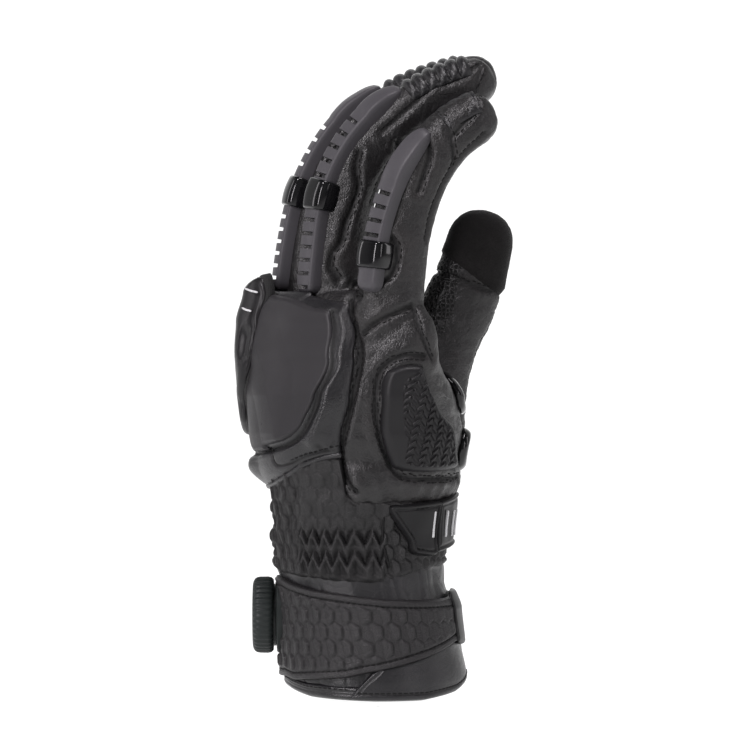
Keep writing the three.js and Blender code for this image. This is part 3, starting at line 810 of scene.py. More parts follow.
def open_knit(name, color, rough):
    """Open knit: shiny strands round small holes, which are painted near black as shade."""
    m = Nodes(name, color, rough)
    strand = m.ramp(m.cells(560, jitter=0.55), 0.06, 0.3, 1.0, 0.0)
    m.bump(strand, 1.0, 0.0006)
    m.bump(m.noise(2600, 3), 0.3, 0.0001)
    # painted shade: near-black colour in the holes between the strands
    m.set("Base Color", m.mix(strand, (0.0008, 0.0008, 0.0008), color))
    m.set("Roughness", m.ramp(strand, 0.0, 1.0, 0.9, rough))
    return m.material


def napped(name, color, rough):
    """Suede: a short nap that catches light from the side, brushed in soft patches."""
    m = Nodes(name, color, rough)
    nap = m.noise(2200, 6, 0.7)
    brushed = m.noise(70, 4)
    m.bump(nap, 0.8, 0.00025)
    m.bump(brushed, 0.2, 0.0006)
    shade = m.mix(m.ramp(brushed, 0.4, 0.65), color, toned(color, 1.55))
    m.set("Base Color", m.mix(m.ramp(nap, 0.35, 0.65), toned(color, 0.5), shade))
    m.set("Sheen Weight", 0.12)
    m.set("Sheen Roughness", 0.35)
    m.set("Specular IOR Level", 0.2)
    return m.material


def thread(name, color):
    """Bonded sewing thread with a twist."""
    m = Nodes(name, color, 0.6)
    m.set("Specular IOR Level", 0.2)
    twist = m.wave(700, "DIAGONAL", 0.5)
    m.bump(twist, 0.6, 0.00008)
    m.set("Base Color", m.mix(twist, toned(color, 0.5), color))
    return m.material


def cable_steel():
    """Twisted steel strands."""
    m = Nodes("cable_steel", (0.08, 0.08, 0.085), 0.4)
    m.set("Metallic", 1.0)
    twist = m.wave(900, "DIAGONAL", 0.0)
    m.bump(twist, 1.0, 0.0001)
    m.set("Base Color", m.mix(twist, (0.03, 0.03, 0.03), (0.14, 0.14, 0.15)))
    return m.material


LOOKS = {
    "leather": leather("leather", (0.0090, 0.0083, 0.0088), 0.37, worn=(0.020, 0.0165, 0.016)),
    "smooth_leather": leather("smooth_leather", (0.0095, 0.0092, 0.0105), 0.33, grain=1300, relief=0.22,
                              worn=(0.017, 0.016, 0.018)),
    "hex_leather": leather("hex_leather", (0.0088, 0.0078, 0.0088), 0.5, grain=1200, relief=0.45,
                           worn=(0.015, 0.0135, 0.0145)),
    # painted shade: a darker copy of the embossed leather, for the wrist gather that lies under the back pad
    "shaded_gather_leather": leather("shaded_gather_leather", (0.0052, 0.0047, 0.0052), 0.54, grain=1200, relief=0.45,
                              worn=(0.010, 0.0090, 0.0096)),
    "armour": moulded("armour", (0.0215, 0.0203, 0.0222), 0.46, relief=0.4),
    "spine": moulded("spine", (0.0560, 0.0535, 0.0590), 0.42, relief=0.35),
    "knuckle_plastic": moulded("knuckle_plastic", (0.0110, 0.0105, 0.0115), 0.34, relief=0.2, scuffs=0.25),
    "rubber_pad": moulded("rubber_pad", (0.0115, 0.0110, 0.0120), 0.4, grain=1500, relief=0.5),
    "tab_rubber": moulded("tab_rubber", (0.0070, 0.0068, 0.0074), 0.42, relief=0.4),
    "gloss_plastic": polished("gloss_plastic", (0.004, 0.004, 0.0045), 0.05),
    "plate_plastic": moulded("plate_plastic", (0.0070, 0.0070, 0.0075), 0.4, relief=0.2),
    "reel_plastic": moulded("reel_plastic", (0.0150, 0.0185, 0.0180), 0.45, relief=0.25),
    "suede": napped("suede", (0.0095, 0.0088, 0.0088), 0.9),
    "mesh": open_knit("mesh", (0.014, 0.0135, 0.014), 0.36),
    "lining": woven("lining", (0.01, 0.01, 0.011), 1500 / 6.28),
    "foam": woven("foam", (0.007, 0.007, 0.007), 2200 / 6.28),
    "thread": thread("thread", (0.0045, 0.0042, 0.0045)),
    "bars": moulded("bars", (0.55, 0.55, 0.56), 0.5, relief=0.2),
    "steel": cable_steel(),
}


# ---------------------------------------------------------------- the skin, cut into a piece for each region

SKIN_NODES = {
    "hand": ("hand_palm", "hand_back"),
    **{f"{name}_lower": (f"{name}_proximal",) for name in tubes},
    **{f"{name}_upper": (f"{name}_distal",) for name in tubes},
}


THUMB_MESH = np.array([  # x, z as seen
    (33.9, 185.7), (33.9, 177.9), (31.4, 166.8), (29.6, 156.5), (26.2, 149.7),
    (22.8, 149.7), (20.2, 156.5), (17.4, 169.4), (19.1, 177.9), (25.9, 187.7),
])


def as_seen(points):
    """The x, z that the eye sees for points of the glove."""
    scale = -EYE[1] / (points[:, 1] - EYE[1])
    return EYE[0] + (points[:, 0] - EYE[0]) * scale, EYE[2] + (points[:, 2] - EYE[2]) * scale


def inside(outline, x, z):
    """True for places inside a closed outline."""
    found = np.zeros(len(x), bool)
    for (x0, z0), (x1, z1) in zip(outline, np.roll(outline, -1, axis=0)):
        crosses = (z0 > z) != (z1 > z)
        found ^= crosses & (x < (x1 - x0) * (z - z0) / (z1 - z0 if z1 != z0 else 1) + x0)
    return found


def build_skin():
    """One piece for each region. Pieces share their border points and the normals of the whole skin."""
    centres = np.array([skin[list(f)].mean(0) for f in skin_faces])
    owner = regions(centres)
    mouth = centres[:, 2] < ROLL_FOOT - 1
    meshed = inside(smooth_line(THUMB_MESH, 80, True), *as_seen(centres)) & (centres[:, 1] > -8)
    thumb = np.isin(owner, ("thumb_lower", "thumb_upper"))
    meshed &= (centres[:, 1] < np.interp(centres[:, 2], [150, 200], [36, 33])) & thumb
    for region, nodes in SKIN_NODES.items():
        chosen = np.flatnonzero((owner == region) & ~mouth)
        kept = [skin_faces[i] for i in chosen]
        used = np.unique([i for f in kept for i in f])
        place = {old: new for new, old in enumerate(used)}
        faces = [tuple(place[i] for i in f) for f in kept]
        piece = make_mesh(f"{region}_leather", skin[used], faces, LOOKS["leather"])
        piece.data.normals_split_custom_set_from_vertices(skin_normals[used].tolist())
        # painted shade in the seams' grooves, darker where they are deeper
        mark_shaded_hollows(piece, (-drawn_in[used] - 0.35) / 0.6)
        if meshed[chosen].any():
            piece.data.materials.append(LOOKS["mesh"])
            piece.data.polygons.foreach_set("material_index", meshed[chosen].astype(np.int32))
        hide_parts(*nodes)
        follow(piece, region)


build_skin()


# ---------------------------------------------------------------- stitches

STITCH_PITCH = 2.3
STITCH_LENGTH = 1.75
STITCH_RADIUS = 0.27
SIDES = 6


def capsule(centre, along, up, length=STITCH_LENGTH, radius=STITCH_RADIUS):
    """Points of one stitch: a short rod with round ends, half sunk in the leather."""
    across = np.cross(along, up)
    points = []
    for reach, size in ((-0.5, 0.45), (-0.36, 1), (0.36, 1), (0.5, 0.45)):
        for k in range(SIDES):
            turn = 2 * math.pi * k / SIDES
            spoke = across * math.cos(turn) + up * math.sin(turn)
            points.append(centre + along * reach * length + spoke * radius * size)
    return points


CAPSULE_FACES = grid_faces(4, SIDES) + [tuple(reversed(range(SIDES))), tuple(range(3 * SIDES, 4 * SIDES))]


def capsules(name, rods, material):
    """One piece of many rods, each given as capsule() takes it."""
    return make_mesh(name, *joined([(capsule(*rod), CAPSULE_FACES) for rod in rods]), material)


def level(direction, up):
    """The direction made square to up, with length 1."""
    direction = direction - up * (direction @ up)
    return direction / max(np.linalg.norm(direction), 1e-6)


def steps_along(path, pitch, reach):
    """The distance, place and direction of even steps along a path. A direction spans reach both ways."""
    run = run_of(path)
    for at in evenly(run[-1], pitch):
        span = picked(min(at + reach, run[-1]), run, path) - picked(max(at - reach, 0), run, path)
        yield at, picked(at, run, path), span


def stitch_rows():
    """Centre, direction and outward normal of every stitch on the skin."""
    found = []
    for line, _, rows in seams:
        for offset in rows:
            for _, centre, along in steps_along(line, STITCH_PITCH, 0.8):
                along /= max(np.linalg.norm(along), 1e-6)
                normal = np.array(skin_tree.find_nearest(Vector(centre))[1])
                aside = np.cross(normal, along)
                place, up, _, _ = skin_tree.find_nearest(Vector(centre + aside * offset))
                up = np.array(up)
                found.append((np.array(place) + up * 0.05, level(along, up), up))
    return found


def build_stitches():
    rods = stitch_rows()
    owner = regions([centre for centre, _, _ in rods])
    for region in SKIN_NODES:
        mine = [rod for rod, whose in zip(rods, owner) if whose == region]
        if mine:
            piece = capsules(f"{region}_stitching", mine, LOOKS["thread"])
            follow(piece, region)


build_stitches()


# ---------------------------------------------------------------- drawing on the body

DEGREE = 0.75  # millimetres of skin for each degree round the body, near enough for drawing on it


def spot(x, z, lift=0.0):
    """(w, z) on the body grown by lift, where the eye sees x, z. w is the angle times DEGREE."""
    y = -35.0
    angles = np.linspace(181, 359, 713)
    for _ in range(4):
        scale = (y - EYE[1]) / -EYE[1]
        height = EYE[2] + (z - EYE[2]) * scale
        row = body_point(angles, height, lift)
        best = np.argmin(np.abs(row[:, 0] - (EYE[0] + (x - EYE[0]) * scale)))
        y = row[best, 1]
    return float(angles[best]) * DEGREE, float(height)


def spots(places, lift=0.0):
    return [spot(x, z, lift) for x, z in places]


def behind(places):
    """(w, z) of (y, z) places on the back."""
    return [(back(y, z)[0] * DEGREE, z) for y, z in places]


def before(places):
    """(w, z) of (y, z) places on the palm, counted on from the little-finger side."""
    angles = [palm(y, z)[0] for y, z in places]
    return [((a + 360 if a < 180 else a) * DEGREE, z) for a, (_, z) in zip(angles, places)]


class Line:
    """A line drawn on the body through (w, z) places."""

    def __init__(self, places):
        self.points = smooth_line(places, max(12, int(length_of(places) / 0.5)))
        self.tree = KDTree(len(self.points))
        for i, (w, z) in enumerate(self.points):
            self.tree.insert((w, z, 0), i)
        self.tree.balance()

    def gap(self, places):
        return np.array([self.tree.find((w, z, 0))[2] for w, z in places])


def flat(places):
    """(w, z) places as points, for noise over them."""
    return np.column_stack([places, np.zeros(len(places))])


def rounded(depth, edge):
    """Rises from 0 at an edge to 1 at depth edge, as a quarter round."""
    return np.sqrt(np.clip(1 - (1 - np.clip(depth / edge, 0, 1)) ** 2, 0, 1))


def on_body(places, height):
    return body_point(places[:, 0] / DEGREE, places[:, 1], height)


def outward(points, faces):
    """The faces, turned over if they face into the solid that they close."""
    middle = points.mean(0)
    volume = 0.0
    for face in faces:
        a = points[face[0]] - middle
        for i in range(1, len(face) - 1):
            volume += a @ np.cross(points[face[i]] - middle, points[face[i + 1]] - middle)
    return faces if volume > 0 else [tuple(reversed(f)) for f in faces]


def solid_piece(name, points, faces, material, sharp=None):
    """A closed piece with its faces outwards. Edges that turn more than sharp degrees stay crisp."""
    piece = make_mesh(name, points, outward(points, faces), material)
    if sharp is not None:
        piece.data.set_sharp_from_angle(angle=math.radians(sharp))
    return piece


def ring_piece(name, rings, material, sharp=None, looped=False):
    """A closed piece through rings of points. Looped joins the last ring to the first, with no ends."""
    points, faces = close_rings(rings)
    if looped:
        faces = grid_faces(len(rings), len(rings[0]), True)
    return solid_piece(name, points, faces, material, sharp)


def patch(name, outline, low, high, material, edge, relief=None, around=220, rings=42):
    """A closed panel on the body: low mm over it along its outline (w, z), high mm inside a rounded edge."""
    border = smooth_line(outline, around, closed=True)
    middle = border.mean(0)
    under, places = (
        np.vstack([middle + (border - middle) * share for share in shares])
        for shares in ((0.25, 0.5, 0.75), 1 - np.linspace(0, 0.985, rings) ** 1.25)
    )
    depth = Line(list(outline) + [outline[0]]).gap(places)
    depth[:around] = 0
    height = low + (high - low) * rounded(depth, edge)
    if relief is not None:
        height = height + relief(places, depth)
    points = np.vstack([on_body(under, low), on_body(places, height)])
    piece = ring_piece(name, points.reshape(-1, around, 3), material)
    # painted shade where the panel's relief lies below its surroundings
    hollow = below_surroundings(height.reshape(rings, around), 3).ravel() / 0.35
    mark_shaded_hollows(piece, np.r_[np.zeros(len(under)), hollow * step(depth, 1, 3)])
    return piece


UNDERSIDE = np.array([0.98, 0.67, 0.33, 0.02])  # shares of a band's height where its underside has points


def band(name, angles, low_edge, high_edge, low, high, material, relief, rows, edge, looped=False):
    """A strip round the body between two edges, functions that give z at each angle in degrees."""
    even = np.linspace(0, 1, rows)
    shares = 0.65 * even + 0.35 * (0.5 - 0.5 * np.cos(np.pi * even))
    bottom, top = (np.array([[edge_of(a)] for a in angles]) for edge_of in (low_edge, high_edge))
    w = np.asarray(angles, float)[:, None] * DEGREE
    face, inner = (
        np.stack(np.broadcast_arrays(w, bottom + (top - bottom) * share), -1) for share in (shares, UNDERSIDE)
    )
    depth = np.minimum(face[..., 1] - bottom, top - face[..., 1])
    if not looped:
        depth = np.minimum(depth, np.minimum(w - w[0], w[-1] - w))
    places = face.reshape(-1, 2)
    height = low + (high - low) * rounded(depth.ravel(), edge) + relief(places, depth.ravel())
    outside = on_body(places, height).reshape(len(angles), rows, 3)
    inside_face = on_body(inner.reshape(-1, 2), min(low, high) - 0.7).reshape(len(angles), -1, 3)
    piece = ring_piece(name, np.hstack([outside, inside_face]), material, looped=looped)
    # painted shade where the band's relief lies below its surroundings
    hollow = below_surroundings(height.reshape(len(angles), rows), 2) / 0.3 * step(depth, 0.6, 1.6)
    mark_shaded_hollows(piece, np.hstack([hollow, np.zeros((len(angles), len(UNDERSIDE)))]).ravel())
    return piece


def pipe(name, path, radius, material, sides=10):
    """A round cord along a path in millimetres, with rounded ends."""
    steps = np.gradient(path, axis=0)
    steps /= np.linalg.norm(steps, axis=1, keepdims=True)
    side = np.cross(steps[0], (0.3, 0.2, 0.93))
    turn = np.linspace(0, 2 * np.pi, sides, endpoint=False)
    rings = []
    for i, (place, along) in enumerate(zip(path, steps)):
        side = side - along * (side @ along)
        side /= np.linalg.norm(side)
        other = np.cross(along, side)
        size = radius * (0.35 if i in (0, len(path) - 1) else 1)
        rings.append(place + size * (np.outer(np.cos(turn), side) + np.outer(np.sin(turn), other)))
    return ring_piece(name, rings, material)


def line_stitches(name, body, lines, heights, length=STITCH_LENGTH, pitch=STITCH_PITCH):
    """Stitches along (w, z) lines at given heights over the body's skin."""
    rods = []
    for line, height in zip(lines, heights):
        path = on_body(line, height)
        rise = on_body(line, height + 1) - path
        for at, centre, along in steps_along(path, pitch, 0.7):
            up = picked(at, run_of(path), rise)
            up /= np.linalg.norm(up)
            rods.append((centre, level(along, up), up, length))
    place_on(capsules(name, rods, LOOKS["thread"]), body, "leather")


def place_on(piece, body, slot, *nodes):
    """Fixes a piece to a body and hides the nodes that it stands for. The slot is not used."""
    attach(piece, body)
    if nodes:
        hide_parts(*nodes)


def hexagons(places, size):
    """Raised scales of a honeycomb: each rises towards the palm side and drops sharply there."""
    w, z = places.T
    row = size * 0.866
    best_w, best_z = np.zeros_like(w), np.zeros_like(z)
    nearest = np.full(len(w), 1e9)
    for shift_w, shift_z in ((0, 0), (size / 2, row)):
        dw = w - shift_w - np.round((w - shift_w) / size) * size
        dz = z - shift_z - np.round((z - shift_z) / (2 * row)) * 2 * row
        gap = np.hypot(dw, dz)
        closer = gap < nearest
        best_w[closer], best_z[closer], nearest[closer] = dw[closer], dz[closer], gap[closer]
    border = np.maximum(np.abs(best_w), np.abs(best_w) * 0.5 + np.abs(best_z) * 0.866) / (size / 2)
    lean = (best_w * 0.9 + best_z * 0.2) / (size / 2)
    return step(1 - border, 0.0, 0.26) * np.clip(0.12 + 0.9 * lean, 0, 1) ** 0.8


# ---------------------------------------------------------------- wrist and cuff

def smooth_edge(table):
    """A function of angle from (angle, z) pairs."""
    angles, heights = zip(*table)
    return lambda angle: float(np.interp(angle, angles, heights))


def edge_from(places, far, lift=0.0):
    """A function of angle through seen places, carried on by (angle, z) pairs on the sides out of sight."""
    table = [(w / DEGREE, z) for w, z in spots(places, lift)] + list(far)
    return smooth_edge(sorted(table))


AROUND = np.arange(0, 360, 0.62)
gather_foot = edge_from([(-35.2, 52), (-18, 49.4), (-0.9, 48.5), (12, 51.5), (23, 55.4)],
                        [(0, 56), (60, 55), (120, 54), (180, 53.5), (355, 56), (360, 56)])
gather_head = edge_from([(-52, 103), (-30, 102), (-20, 102), (-15, 100), (-12.4, 87), (-8, 84), (20, 84)],
                        [(0, 84), (60, 84), (90, 92), (130, 97), (150, 101), (180, 101), (330, 84),
                         (360, 84)])
SMOCK_ROWS = (69.6, 61.3)
SMOCK_PITCH = 6.5
SMOCK_FROM, SMOCK_TO = spot(-31, 65)[0], spot(1.2, 65)[0]


def smock_line(w, row):
    """Height of a smocking row's zigzag at w."""
    return row + (np.abs(((w / SMOCK_PITCH) % 1) - 0.5) * 2 - 0.5) * 6.2


def smocking(w, z, row):
    """One stitched zigzag: hollow in the notches over it, puffed in the points under it."""
    over = z - smock_line(w, row)
    notch = 0.5 - 0.5 * np.cos(w / SMOCK_PITCH * 2 * np.pi)
    hollow = step(over, -1.0, 0.2) * bell(np.maximum(over, 0), 0, 2.2) * (0.35 + 0.65 * notch)
    return 0.8 * bell(over, -2.7, 1.7) - 1.9 * hollow


def gather_relief(places, depth):
    """Embossed scales, two rows of smocking towards the little finger, and elastic puffs on the back."""
    w, z = places.T
    angle = w / DEGREE
    smocked = step(w, SMOCK_FROM - 3, SMOCK_FROM + 1) * (1 - step(w, SMOCK_TO - 1, SMOCK_TO + 3))
    rows = smocked * sum(smocking(w, z, row) for row in SMOCK_ROWS)
    puffs = 2 * np.abs(np.sin((z - 54) * np.pi / 10.5 + 0.35 * np.sin(angle / 9))) ** 0.7 - 1
    elastic = step(angle, 140, 160) * (1 - step(angle, 188, 202))
    soft = wandering(flat(places) * (1.6, 1, 1), 11, 6)
    sag = 1.4 * bell(z, 84, 6) * (1 + 0.6 * wandering(flat(places), 14, 7))
    scales = 1.1 * hexagons(places, 6.6) * (1 - 0.45 * smocked)
    foot = -0.7 * np.cos(w / SMOCK_PITCH * 2 * np.pi) * bell(z, 53.5, 4) * smocked
    inner = scales + rows + foot + elastic * (0.95 * puffs - 1.3) + 1.3 * soft + sag * (1 - elastic)
    return step(depth, 0, 3) * inner + 0.9 * step(z, 86, 94)


def build_wrist():
    gather = band("wrist_gather_leather", AROUND, gather_foot, gather_head, -2.2, 0.7,
                  LOOKS["shaded_gather_leather"], gather_relief, rows=110, edge=3.0, looped=True)
    place_on(gather, "hand", "embossed_leather", "wrist_gather")
    w = np.arange(SMOCK_FROM, SMOCK_TO, 0.4)
    rows = [np.stack([w, smock_line(w, row)], -1) for row in SMOCK_ROWS]
    line_stitches("smocking_stitches", "hand", rows, [-0.35, -0.35], length=1.3, pitch=1.7)
    side_seam = Line(spots([(2.5, 79.7), (1.7, 65.7), (4.2, 55.4)])).points
    place_on(pipe("gather_side_seam", on_body(side_seam, 1.0), 0.6, LOOKS["thread"]), "hand", "leather")


def cuff_relief(places, depth):
    """Smooth leather that wrinkles where the strap pulls it in."""
    spread = flat(places) * (1.2, 1, 1)
    wrinkles = 1 - np.abs(wandering(spread * (1.1, 0.5, 1), 11, 11)) * 2
    return step(depth, 0, 3) * (0.9 * wandering(spread, 13, 12) - 0.3 * np.clip(wrinkles, 0, 1) ** 3)


rim_table = smooth_edge([(0, 11), (25, 7.5), (60, 2), (90, 0.4), (130, 0.6), (155, 4.5), (180, 9), (200, 8),
                         (225, 6), (270, 5), (300, 5), (330, 7), (350, 9.8), (360, 11)])
strap_top = edge_from([(-39.5, 51.1), (-28.3, 46.8), (-12, 44.2), (2.5, 42.5), (18, 42.3), (29.9, 43.4)],
                      [(150, 52), (180, 52.5), (345, 44.5), (390, 46)], 2.8)
strap_bottom = edge_from([(-37.8, 11.7), (-34.3, 10), (-12.9, 10.8), (11, 16), (31.6, 25.4)],
                         [(150, 13), (180, 12), (345, 27), (390, 29)], 2.8)
STRAP_STITCH = 3.0
PLATE_FROM = (332, 336)  # the angle where the strap goes flat under its end plate


def rim_foot(angle):
    """Height of the cuff's foot at an angle."""
    return rim_table(angle % 360)


def along_edge(angles, edge, offset):
    """(w, z) places along an edge, moved up by offset."""
    return np.stack([angles * DEGREE, [edge(a) + offset for a in angles]], -1)


def rim_relief(places, depth):
    """A groove under the stitches of the binding."""
    return -0.35 * bell(depth, 2.6, 0.35)


def build_cuff():
    cuff = band("cuff_leather", AROUND, lambda a: rim_foot(a) + 3, lambda a: 58, -2.6, 0,
                LOOKS["smooth_leather"], cuff_relief, rows=70, edge=1.0, looped=True)
    place_on(cuff, "hand", "leather", "cuff_shell")
    rim = band("rim_binding_leather", AROUND, rim_foot, lambda a: rim_foot(a) + 6.2, -2.4, 0.9,
               LOOKS["smooth_leather"], rim_relief, rows=26, edge=1.9, looped=True)
    place_on(rim, "hand", "leather", "rim_binding")
    # the palm side of the cuff laps over the back at the little-finger side, with a slanting end
    flap_end = spot(-11, 4)[0] / DEGREE
    flap_head = lambda a: min(strap_bottom(min(a, 388)) + 3, rim_foot(a) + 1.5 + (a - flap_end) * 0.8)
    flap = band("cuff_flap_leather", np.arange(flap_end, 420, 0.7), lambda a: rim_foot(a) + 0.3, flap_head,
                -0.5, 1.9, LOOKS["smooth_leather"], rim_relief, rows=46, edge=1.4)
    place_on(flap, "hand", "leather")
    binding = np.arange(0, 360, 0.5)
    binding = binding[(binding > 60) & (binding < flap_end)]
    lapped = np.arange(flap_end + 4, 419, 0.5)
    lines = [along_edge(binding, rim_foot, 4.4), along_edge(lapped, rim_foot, 3.4)]
    line_stitches("rim_stitches", "hand", lines, [0.85, 1.95])


def strap_relief(places, depth):
    """Scales inside the stitched border, which is smooth and pulled down along its stitches."""
    scales = 1.15 * hexagons(places, 7.4) * step(depth, STRAP_STITCH + 0.3, STRAP_STITCH + 1.6)
    scales *= 1 - step(places[:, 0] / DEGREE, *PLATE_FROM)
    pulled = -0.4 * bell(depth, STRAP_STITCH, 0.5)
    slack = 0.35 * wandering(flat(places), 18, 14)
    return scales + pulled + slack


def round_reel(places, depth):
    """The strap is let down where the reel stands through it."""
    from_reel = np.hypot(places[:, 0] - 180 * DEGREE, places[:, 1] - REEL_Z)
    return strap_relief(places, depth) - 2.6 * (1 - step(from_reel, 15.4, 16.6))


def build_strap():
    angles = np.arange(155, 389, 0.55)
    strap = band("closure_strap_leather", angles, strap_bottom, strap_top, 0.2, 2.8, LOOKS["hex_leather"],
                 round_reel, rows=84, edge=1.1)
    place_on(strap, "hand", "embossed_leather", "closure_strap")
    inner = angles[6:-6]
    lines = [along_edge(inner, strap_top, -STRAP_STITCH), along_edge(inner, strap_bottom, STRAP_STITCH)]
    line_stitches("strap_stitches", "hand", lines, [2.55, 2.55])
    outline = [(a * DEGREE, z) for a, z in ((337, 27), (352, 25.5), (378, 26.5), (381, 36), (378, 45.5),
                                            (352, 47), (337, 46), (335.5, 36))]
    plate = patch("strap_end_plate_cover", outline, 2.6, 3.7, LOOKS["plate_plastic"], edge=1.3, rings=24)
    place_on(plate, "hand", "reel_plastic", "strap_end_plate")


TAB_SIDE = [(4.5, 79.6), (6, 76.3), (9.6, 71.1), (13.2, 65.9), (14.6, 61.6), (17.1, 60.4)]
TAB_TOP = [(20, 81.8), (12, 80.9), (7, 80.8)]
TAB_END_Y = -25.0  # where the tab meets the wrist strap


def tab_relief(places, depth):
    """A bound edge, and cloth pulled down along the stitches inside it."""
    rolled = 0.5 * bell(depth, 1.0, 0.8)
    pulled = -0.4 * bell(depth, 2.4, 0.45)
    slack = 0.5 * wandering(flat(places), 9, 15)
    return rolled + pulled + slack * step(depth, 2, 4)


def plain_bar(name, w, body):
    """An upright raised bar."""
    corners = [(w - 0.7, 68.5), (w + 0.7, 68.5), (w + 0.7, 79.5), (w - 0.7, 79.5)]
    outline = [np.array(a) + (np.array(b) - a) * part for a, b in zip(corners, corners[1:] + corners[:1])
               for part in (0.1, 0.5, 0.9)]
    bar = patch(name, outline, 3.6, 4.8, LOOKS["bars"], edge=0.3, around=64, rings=8)
    place_on(bar, body, "leather")


def build_tab():
    lift = 4.4
    end = before([(TAB_END_Y - 0.3, z) for z in (61.8, 68, 74, 80, 83.2)])
    outline = spots(TAB_SIDE, lift) + end + spots(TAB_TOP, lift)
    tab = patch("wrist_tab_leather", outline, 1.0, lift, LOOKS["tab_rubber"], 1.6, tab_relief, around=240)
    place_on(tab, "tab", "rubber_pad", "wrist_tab")
    rim = smooth_line(outline, 300, closed=True)
    inward = rim.mean(0) - rim
    inset = rim + inward / np.linalg.norm(inward, axis=1, keepdims=True) * 2.5
    line_stitches("tab_stitches", "tab", [inset], [lift - 0.35])
    plain_bar("tab_bar", spot(22.4, 72, lift)[0], "tab")


def build_wrist_strap():
    """The strap that the tab closes. It carries plain raised bars where a maker would put lettering."""
    start, middle, end = (before([(y, 71)])[0][0] / DEGREE for y in (TAB_END_Y, 0, 42))
    low_edge = smooth_edge([(start, 62.2), (middle, 65), (end, 63)])
    high_edge = smooth_edge([(start, 83.4), (middle, 86.5), (end, 84)])
    wrist = band("wrist_strap_leather", np.arange(start, end, 0.7), low_edge, high_edge, 0.6, 4.2,
                 LOOKS["tab_rubber"], tab_relief, rows=60, edge=1.6)
    place_on(wrist, "hand", "leather", "wrist_strap")
    for k, y in enumerate((-20, -13, -6)):
        plain_bar(f"wrist_bar_{k + 1}", before([(y, 71)])[0][0], "hand")


build_wrist()
build_cuff()
build_strap()
build_tab()
build_wrist_strap()


# ---------------------------------------------------------------- pad and armour on the back

pad_stitch = Line(
    spots([(-17.9, 159), (-17.4, 152), (-18.4, 142), (-20.7, 131), (-24.1, 122.8), (-27, 115.5),
           (-30.1, 109.6), (-35.5, 105.2), (-43, 103)], 4)
    + behind([(-10, 101.5), (12, 101.5)])
)
pad_ridge = Line(spots([(-13.3, 162), (-14.6, 151.5), (-16.8, 139.8), (-18.9, 131.1), (-21.5, 122.3),
                        (-24.4, 113.6), (-27, 106.3)], 6))
band_top = Line(
    behind([(20, 101), (0, 101.5)])
    + spots([(-51.5, 102.5), (-43.8, 103), (-40, 96.5), (-28.3, 99.9), (-15.5, 103.4)], 4)
)
armour_crease = Line(spots([(-50, 166), (-49.6, 145.6), (-45.5, 128.2), (-41.9, 107)], 7.6))
PAD_BACK = 181 * DEGREE  # the bulge at the pad's foot is on the back, from here on


def pad_relief(places, depth):
    """A stitched valley round the armour, a ridge beside it, a hem, and a bulge at the foot on the back."""
    w, z = places.T
    valley = -1.7 * bell(pad_stitch.gap(places), 0, 1.3)
    ridge = 1.5 * bell(pad_ridge.gap(places), 0, 2.8)
    hem = -0.9 * bell(band_top.gap(places), 0, 0.7)
    lumps = 0.22 * wandering(flat(places), 15, 21)
    foot = 3.2 * bell(z, 96.5, 6) * (1 - step(w, PAD_BACK, PAD_BACK + 11))
    inner = step(depth, 1, 5) * (valley + ridge + lumps)
    return inner + step(depth, 0.5, 3) * hem + rounded(depth, 7) * foot


def build_pad():
    near = spots([(-11.4, 161.5), (-9.8, 155), (-8.8, 146), (-9.4, 136), (-11, 126), (-13.4, 115),
                  (-15.2, 105), (-15.4, 100.5), (-22, 99.4), (-29.5, 96.8), (-35.5, 92.4), (-41.5, 88.8)], 1)
    outline = near + behind([(-9, 88), (0, 88.2), (24, 91), (40, 101), (43, 125), (41, 150), (34, 163),
                             (12, 167), (-8, 166.5), (-24, 166)]) + spots([(-27, 165), (-18.5, 163)], 1)
    pad = patch("back_pad_leather", outline, -1.0, 5.0, LOOKS["smooth_leather"], edge=8.5, relief=pad_relief,
                around=360, rings=90)
    place_on(pad, "hand", "leather", "back_pad")
    line_stitches("pad_stitches", "hand", [pad_stitch.points, band_top.points + (0, 1.3)], [3.2, 3.9])
    foot = behind([(34, 97), (18, 90.6), (0, 88.9), (-9, 88.7)])
    foot += spots([(-41.5, 89.5), (-35.8, 92.9), (-29.2, 97.2), (-22, 99.8), (-14.6, 100.9)], 1.5)
    piping = pipe("pad_piping", on_body(smooth_line(foot, 240), 1.3), 1.25, LOOKS["smooth_leather"], 14)
    place_on(piping, "hand", "leather")


def armour_relief(places, depth):
    """A faint fold between the side face and the back face, and a shallow rim along the edge."""
    fold = 1.5 * np.clip(1 - armour_crease.gap(places) / 10, 0, 1)
    rim = 0.15 * bell(depth, 1.2, 0.9)
    return fold + rim


def build_armour():
    outline = spots([(-40, 165.2), (-33.5, 163.9), (-25.5, 160.3), (-19.4, 158.8), (-18.2, 153),
                     (-19.2, 142), (-21.5, 131.1), (-24.8, 123.4), (-27.7, 116.5), (-30.7, 110.9),
                     (-35.7, 106.8), (-43, 104.4)], 3)
    outline += behind([(-24, 103), (-8, 103.5), (-4, 118), (-5, 140), (-9, 158), (-12, 165)])
    plate = patch("back_armour_plate", outline, 2.2, 6.0, LOOKS["armour"], edge=1.8, relief=armour_relief,
                  around=300, rings=60)
    place_on(plate, "hand", "armour", "back_armour")


def shell_relief(places, depth):
    """The knuckle shell stands higher towards the fingers, with a raised spine down its middle."""
    w, z = places.T
    rise = (4.2 * step(z, 112, 150) - 2) * step(depth, 0, 6)
    keel = 0.9 * np.clip(1 - np.abs(w - behind([(10, 140)])[0][0]) / 9, 0, 1) * step(depth, 1, 5)
    knuckles = 0.8 * np.cos((w - behind([(0, 140)])[0][0]) / 24 * 2 * np.pi) * step(z, 140, 160)
    slots = np.zeros_like(w)
    for y in (-9, 2, 13, 24):
        slot_w, slot_z = behind([(y, 145)])[0]
        slots += np.exp(-((w - slot_w) / 1.4) ** 4 - ((z - slot_z) / 6.5) ** 4)
    return rise + keel + knuckles * step(depth, 0, 4) - 2.4 * np.clip(slots, 0, 1)


SHELL_TOP = 10.2
STRIPE_POINTS = 30


